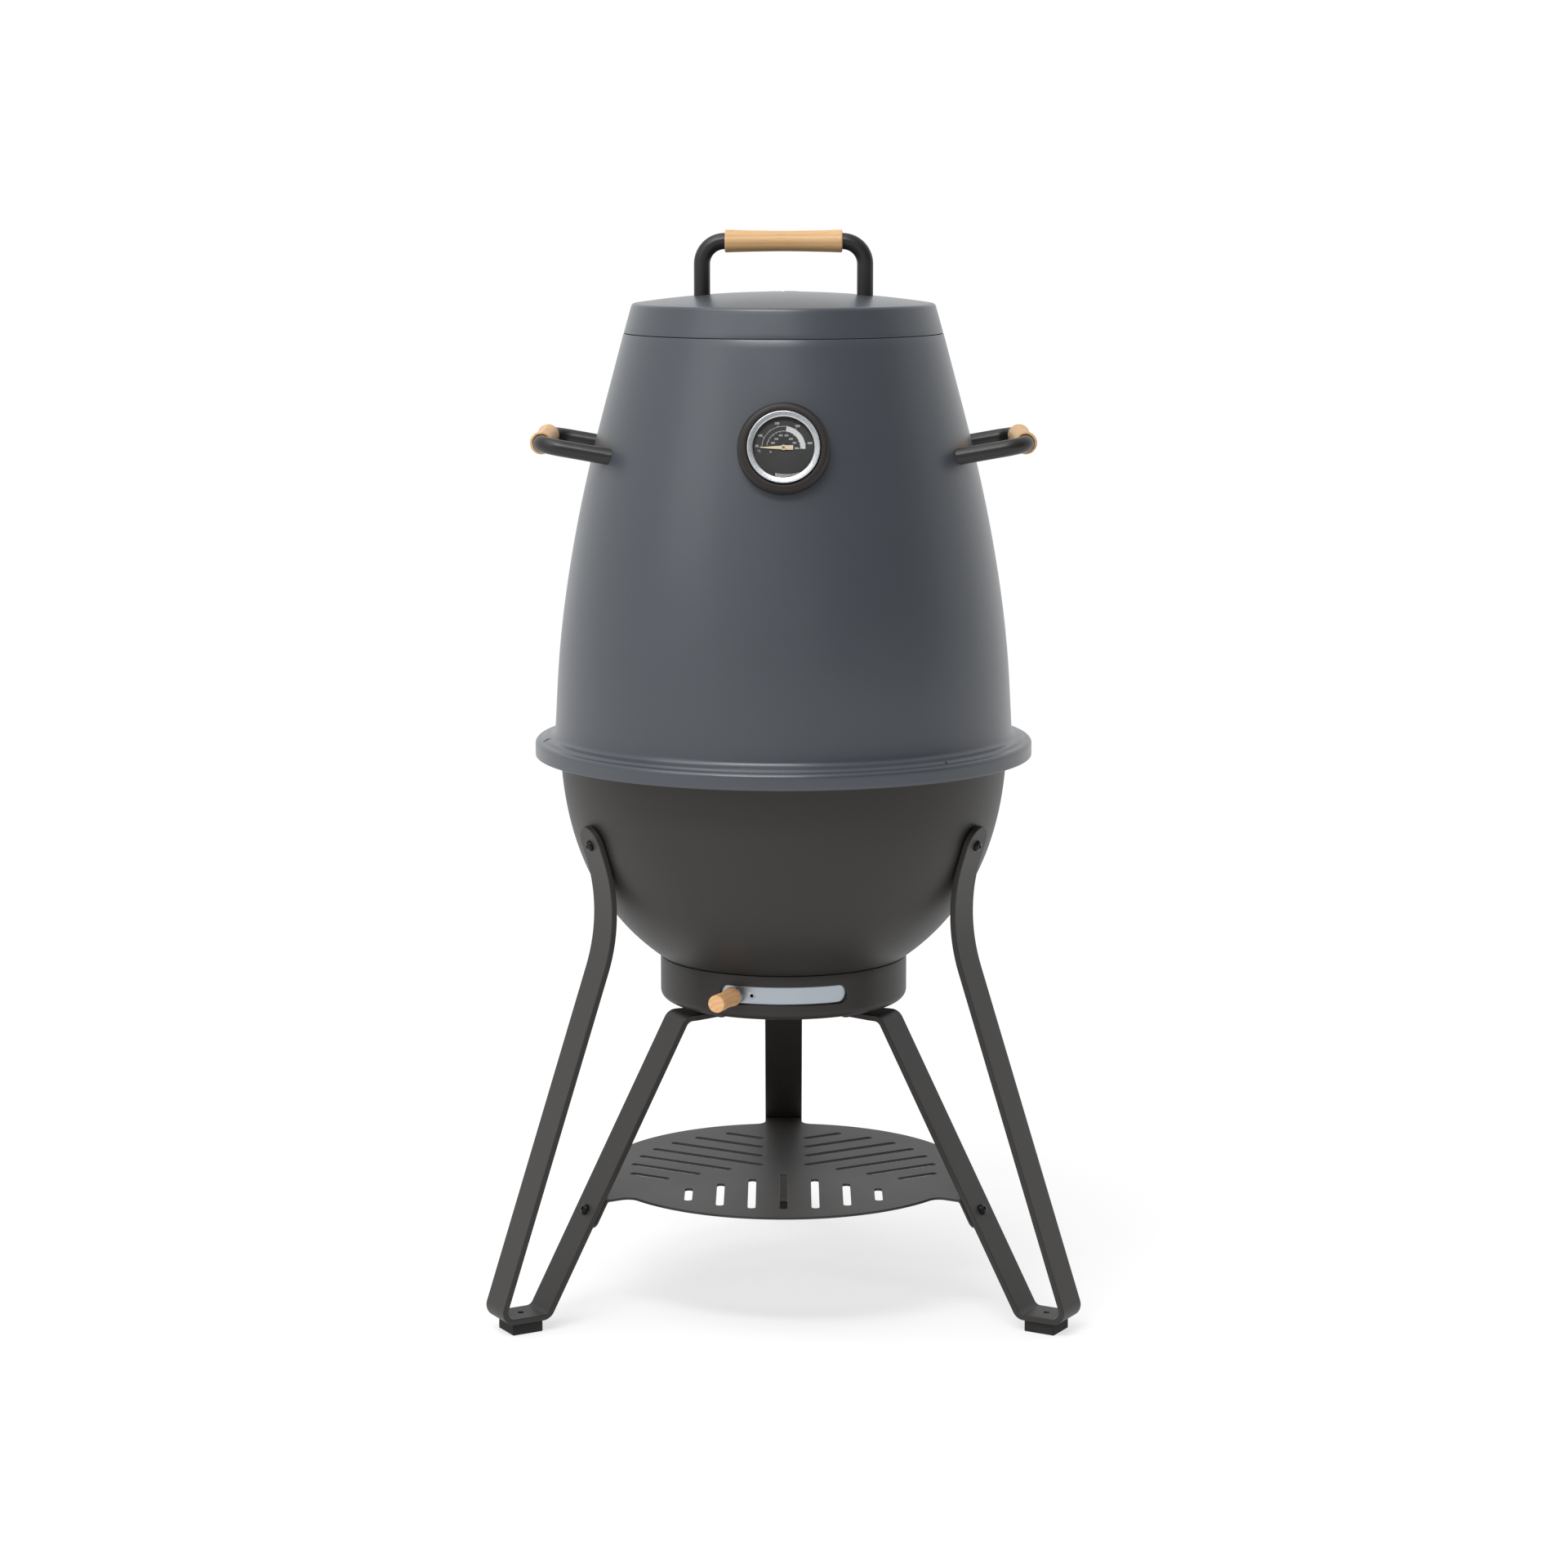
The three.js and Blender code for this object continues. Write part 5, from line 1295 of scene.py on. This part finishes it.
piece("gauge_bezel", lathe(rounded([(34.95, 8.5, 0.15), (35.4, 8.5, 0.15), (35.4, 13.9, 1.1), (34.6, 14.2, 0.5), (30.6, 13.7, 0.5), (29.8, 12.9, 0.25),
                                    (29.8, 12.65, 0.1), (34.95, 12.65, 0.1)], 9, closed=True), 144, closed=True),
      CHROME, "hood", ["thermo_bezel"], thermo_m)
piece("gauge_dial", lathe(rounded([(1.4, 7.2, 0.1), (33.0, 7.2, 0.2), (33.0, 8.0, 0.2), (1.4, 8.0, 0.1)], 30, closed=True), 144, closed=True), DIAL, "hood",
      ["thermo_dial"], thermo_m)
piece("gauge_window", lathe([(0, 11.1), (16, 11.1), (32.7, 11.1), (33.0, 11.3), (33.0, 11.9), (32.7, 12.2), (16, 12.2), (0, 12.2)], 128), GLASS, "hood",
      ["thermo_glass"], thermo_m)
piece("gauge_pin", lathe([(0, 3.0), (0.7, 3.0), (0.9, 3.2), (0.9, 10.4), (0.7, 10.7), (0, 10.7)], 24), STEEL, "hood", ["thermo_pin"], thermo_m)

needle_loop = rounded([(-23.2, -0.3, 0.28), (-2.4, -1.75, 0.8), (0, -2.0, 0.5), (9.3, -2.35, 0.35), (9.3, 2.35, 0.35), (0, 2.0, 0.5), (-2.4, 1.75, 0.8), (-23.2, 0.3, 0.28)],
                      18, closed=True)
needle = Solid().add(*plate([needle_loop, circle(0, 0, 1.25, 28)], 0.7, 0.12, lambda x, y, hh: np.stack([x, y, hh + 8.95], 1), steps=2))
needle.add(*lathe(rounded([(1.3, 9.25, 0.05), (2.75, 9.25, 0.05), (2.75, 10.0, 0.3), (1.3, 10.0, 0.15)], 22, closed=True), 48, closed=True))
piece("gauge_hand", needle, CREAM, "gauge_needle", ["thermo_needle"], thermo_m)
piece("gauge_probe", lathe([(0, -62), (1.4, -61.7), (2.3, -61.2), (2.9, -60.3), (3.2, -59.0)] + [(3.2, z) for z in (-50, -40, -30, -20, -14)] + [(3.2, 0.2), (3.0, 0.4), (0, 0.4)], 36),
      STEEL, "hood", ["thermo_stem"], thermo_m)
piece("gauge_nut", hex_nut(9.0, 3.7, -9.4, -4.4), STEEL, "hood", ["thermo_nut"], thermo_m)

# the dial's print: scales in degrees C and F, no words
PRINT_H0, PRINT_H1 = 7.96, 8.09


def ring_part(r0, r1, a0, a1):
    n = max(2, int(abs(a1 - a0) / 2.0))
    v, f = [], []
    for i in range(n + 1):
        a = rad(a0 + (a1 - a0) * i / n)
        for r, z in ((r0, PRINT_H0), (r1, PRINT_H0), (r1, PRINT_H1), (r0, PRINT_H1)):
            v.append((r * math.cos(a), r * math.sin(a), z))
    for i in range(n):
        for k in range(4):
            f.append((4 * i + k, 4 * i + (k + 1) % 4, 4 * i + 4 + (k + 1) % 4, 4 * i + 4 + k))
    f += [(3, 2, 1, 0), (4 * n, 4 * n + 1, 4 * n + 2, 4 * n + 3)]
    return v, f


def tick(a, r0, r1, w):
    c, s = math.cos(rad(a)), math.sin(rad(a))
    v = []
    for z in (PRINT_H0, PRINT_H1):
        for r, q in ((r0, -w / 2), (r1, -w / 2), (r1, w / 2), (r0, w / 2)):
            v.append((r * c - q * s, r * s + q * c, z))
    return v, [(0, 3, 2, 1), (4, 5, 6, 7), (0, 1, 5, 4), (1, 2, 6, 5), (2, 3, 7, 6), (3, 0, 4, 7)]


def text(solid, body, size, x, y, turn=0.0):
    """Numbers in the built-in font, as thin raised figures centred on (x, y)."""
    cu = bpy.data.curves.new("figure", "FONT")
    cu.body, cu.size, cu.align_x, cu.align_y = body, size, "CENTER", "CENTER"
    cu.extrude, cu.resolution_u, cu.offset = (PRINT_H1 - PRINT_H0) / 2, 4, 0.012 * size
    ob = bpy.data.objects.new("figure", cu)
    bpy.context.scene.collection.objects.link(ob)
    dg = bpy.context.evaluated_depsgraph_get()
    me = bpy.data.meshes.new_from_object(ob.evaluated_get(dg))
    c, s = math.cos(turn), math.sin(turn)
    vs = [(x + v.co.x * c - v.co.y * s, y + v.co.x * s + v.co.y * c, v.co.z + (PRINT_H0 + PRINT_H1) / 2) for v in me.vertices]
    solid.add(vs, [tuple(p.vertices) for p in me.polygons])
    bpy.data.objects.remove(ob)
    bpy.data.curves.remove(cu)
    bpy.data.meshes.remove(me)


def c_angle(c):
    return 176.3 - 0.4757 * (c - 50.0)


def f_angle(f):
    return c_angle((f - 32.0) / 1.8)


dial_print = Solid()
dial_print.add(*ring_part(20.75, 21.05, c_angle(50), 83.0))
for c in range(50, 401, 50):
    dial_print.add(*tick(c_angle(c), 21.0, 22.7 if c % 100 == 0 else 22.1, 0.32 if c % 100 == 0 else 0.24))
for c in (50, 100, 200, 300, 400):
    a = c_angle(c)
    r = 24.2 + 1.6 * abs(math.cos(rad(a)))
    text(dial_print, str(c), 3.1, r * math.cos(rad(a)), r * math.sin(rad(a)))
dial_print.add(*ring_part(16.2, 16.5, f_angle(140), f_angle(800)))
for f in range(150, 801, 50):
    dial_print.add(*tick(f_angle(f), 14.9 if f % 100 == 0 else 15.4, 16.25, 0.3 if f % 100 == 0 else 0.22))
for f, r in ((200, 11.2), (300, 10.9), (400, 12.2), (500, 12.2), (600, 11.1), (700, 11.4), (800, 12.7)):
    a = f_angle(f)
    text(dial_print, str(f), 2.5, r * math.cos(rad(a)), r * math.sin(rad(a)))
dial_print.add(*ring_part(16.45, 21.2, 82, -3))
text(dial_print, "\u00b0C", 2.9, -23.7, -3.3)
text(dial_print, "\u00b0F", 2.6, -12.6, -4.5)
piece("gauge_print", dial_print, PRINT, "hood", ["thermo_dial"], thermo_m, weld=False)

# ------------------------------------------------------------------ exhaust damper
DISC_H, DISC_T = 0.75, 0.9
tab_path = Bent([(0.0, DISC_H), (24.0, DISC_H)] + rounded([(24.6, DISC_H, 0), (27.4, DISC_H, 1.9), (27.4, 5.0, 0)], 15)[1:])
tab_len = float(tab_path.s[-1])
tw = 7.0
bend_s = [float(x) for x in tab_path.s[2:-1] if x < tab_len - 1.6]
bend_pts = [x for x in bend_s if x > 24.0]
# the tab leaves the disc at y 24.4: a flat pattern strip of half-width tw
disc = [(28 * math.cos(f), 28 * math.sin(f)) for f in np.linspace(rad(180 - math.degrees(math.asin(22.6 / 28))), rad(360 + math.degrees(math.asin(22.6 / 28))), 105)]
notch = rounded([(disc[-1][0], disc[-1][1], 0), (tw + 1.2, 23.4, 1.0), (tw, 24.4, 0.6), (tw, bend_pts[0], 0)], 20)[1:-1]
right_side = [(tw, s) for s in bend_pts]
tip = rounded([(tw, bend_pts[-1], 0), (tw, tab_len, 1.4), (-tw, tab_len, 1.4), (-tw, bend_pts[-1], 0)], 15)[1:-1]
left_side = [(-tw, s) for s in bend_pts[::-1]]
left_notch = [(-x, y) for x, y in notch[::-1]]
d_outline = disc + notch + right_side + tip + left_side + left_notch
kr = len(disc) + len(notch)
kl = kr + len(right_side) + len(tip)
d_cuts = [((0, kr + i), (0, kl + len(left_side) - 1 - i)) for i in range(len(bend_pts))]


def damper_place(x, y, hh):
    out = np.stack([x, y, DISC_H + hh], 1)
    k = (y > 24.0) & (np.abs(x) < tw + 0.05)
    r, z = tab_path.at(y[k], hh[k])
    out[k] = np.stack([x[k], r, z], 1)
    return out


d_holes = [circle(16.5 * math.cos(rad(a)), 16.5 * math.sin(rad(a)), 6.0, 40) for a in (45, 135, 225, 315)] + [circle(0, 0, 1.9, 24)]
piece("vent_disc", plate([d_outline] + d_holes, DISC_T, 0.25, damper_place, d_cuts, steps=2), STEEL, "exhaust_damper",
      ["damper"], DAMPER_FRAME, flats=True)
piece("vent_rivet", lathe([(0, -4.6)] + rounded([(2.2, -4.6, 0), (3.0, -4.6, 0.5), (3.0, -3.2, 0.3), (1.5, -3.2, 0), (1.5, 1.35, 0), (4.2, 1.35, 0.15),
                                                 (3.9, 1.7, 0.3), (3.0, 1.95, 0.8), (1.4, 2.0, 0)], 18) + [(0, 2.0)], 48), STEEL, "lid",
      ["damper_rivet"], DAMPER_FRAME)

# ------------------------------------------------------------------ camera, floor and light
scene = bpy.context.scene
scene.view_settings.view_transform = "Standard"
scene.view_settings.look = "None"

cam = bpy.data.objects.new("camera", bpy.data.cameras.new("camera"))
scene.collection.objects.link(cam)
cam.data.lens, cam.data.sensor_width = 87.77, 36.0
cam.data.clip_start, cam.data.clip_end = 0.1, 100.0
cam.location = (0.00046, -3.9324, 1.15699)
cam.rotation_euler = (math.pi / 2 - 0.1585, 0, 0)
scene.camera = cam

floor_mesh = bpy.data.meshes.new("floor")
F = 14.0
floor_mesh.from_pydata([(-F, -F, 0), (F, -F, 0), (F, F, 0), (-F, F, 0)], [], [(0, 1, 2, 3)])
floor = bpy.data.objects.new("floor", floor_mesh)
scene.collection.objects.link(floor)
fm = bpy.data.materials.new("floor")
fm.use_nodes = True
fb = fm.node_tree.nodes["Principled BSDF"]
fb.inputs["Base Color"].default_value = (0.34, 0.34, 0.34, 1)
fb.inputs["Roughness"].default_value = 0.9
fb.inputs["Specular IOR Level"].default_value = 0.0
fb.inputs["Emission Color"].default_value = (1, 1, 1, 1)
fb.inputs["Emission Strength"].default_value = 0.66
floor_mesh.materials.append(fm)

world = bpy.data.worlds.new("studio")
scene.world = world
world.use_nodes = True
wt = world.node_tree
wt.nodes.clear()
w_out = wt.nodes.new("ShaderNodeOutputWorld")
w_bg = wt.nodes.new("ShaderNodeBackground")
w_tc = wt.nodes.new("ShaderNodeTexCoord")
w_sep = wt.nodes.new("ShaderNodeSeparateXYZ")
w_neg = wt.nodes.new("ShaderNodeMath")
w_neg.operation = "MULTIPLY"
w_neg.inputs[1].default_value = -1.0
w_turn = wt.nodes.new("ShaderNodeMath")
w_turn.operation = "ARCTAN2"                       # turn about +Z from the front, right positive
w_map = wt.nodes.new("ShaderNodeMapRange")
w_map.inputs["From Min"].default_value, w_map.inputs["From Max"].default_value = -math.pi, math.pi
w_ramp = wt.nodes.new("ShaderNodeValToRGB")
w_ramp.color_ramp.interpolation = "EASE"
wt.links.new(w_tc.outputs["Generated"], w_sep.inputs[0])
wt.links.new(w_sep.outputs["Y"], w_neg.inputs[0])
wt.links.new(w_sep.outputs["X"], w_turn.inputs[0])
wt.links.new(w_neg.outputs[0], w_turn.inputs[1])
wt.links.new(w_turn.outputs[0], w_map.inputs["Value"])
wt.links.new(w_map.outputs[0], w_ramp.inputs[0])


def grey(v):
    return (v * 0.985, v * 0.995, v, 1)


WALLS = [(-180, 1.03), (-140, 1.03), (-104, 0.86), (-44, 0.78), (0, 0.42), (38, 0.11), (75, 0.14), (104, 0.72), (134, 1.03), (180, 1.03)]
els = w_ramp.color_ramp.elements
els[0].position, els[0].color = 0.0, grey(WALLS[0][1])
els[1].position, els[1].color = 1.0, grey(WALLS[-1][1])
for deg, v in WALLS[1:-1]:
    e = els.new((deg + 180.0) / 360.0)
    e.color = grey(v)
w_up = wt.nodes.new("ShaderNodeMapRange")
w_up.inputs["From Min"].default_value, w_up.inputs["From Max"].default_value = 0.45, 0.95
w_up.clamp = True
wt.links.new(w_sep.outputs["Z"], w_up.inputs["Value"])
w_mix = wt.nodes.new("ShaderNodeMix")
w_mix.data_type = "RGBA"
wt.links.new(w_up.outputs[0], w_mix.inputs["Factor"])
wt.links.new(w_ramp.outputs[0], w_mix.inputs[6])
w_mix.inputs[7].default_value = grey(0.62)
wt.links.new(w_mix.outputs[2], w_bg.inputs["Color"])
w_bg.inputs["Strength"].default_value = 1.0
wt.links.new(w_bg.outputs[0], w_out.inputs["Surface"])


def area_light(name, loc, target, size, energy, color=(1, 1, 1)):
    li = bpy.data.lights.new(name, "AREA")
    li.shape, li.size, li.size_y, li.energy, li.color = "RECTANGLE", size[0], size[1], energy, color
    ob = bpy.data.objects.new(name, li)
    scene.collection.objects.link(ob)
    ob.location = loc
    d = Vector(target) - Vector(loc)
    ob.rotation_euler = d.to_track_quat("-Z", "Y").to_euler()
    return ob


area_light("key_left", (-2.6, -1.9, 2.6), (0, 0, 0.6), (1.8, 2.4), 13)
area_light("top_front", (-0.5, -1.9, 3.0), (0, 0, 0.5), (1.7, 0.5), 44)
sun = bpy.data.lights.new("ceiling", "SUN")
sun.energy, sun.angle = 1.2, rad(50)
sun_ob = bpy.data.objects.new("ceiling", sun)
scene.collection.objects.link(sun_ob)
sun_ob.rotation_euler = Vector((0.30, 0.16, -1.0)).to_track_quat("-Z", "Y").to_euler()
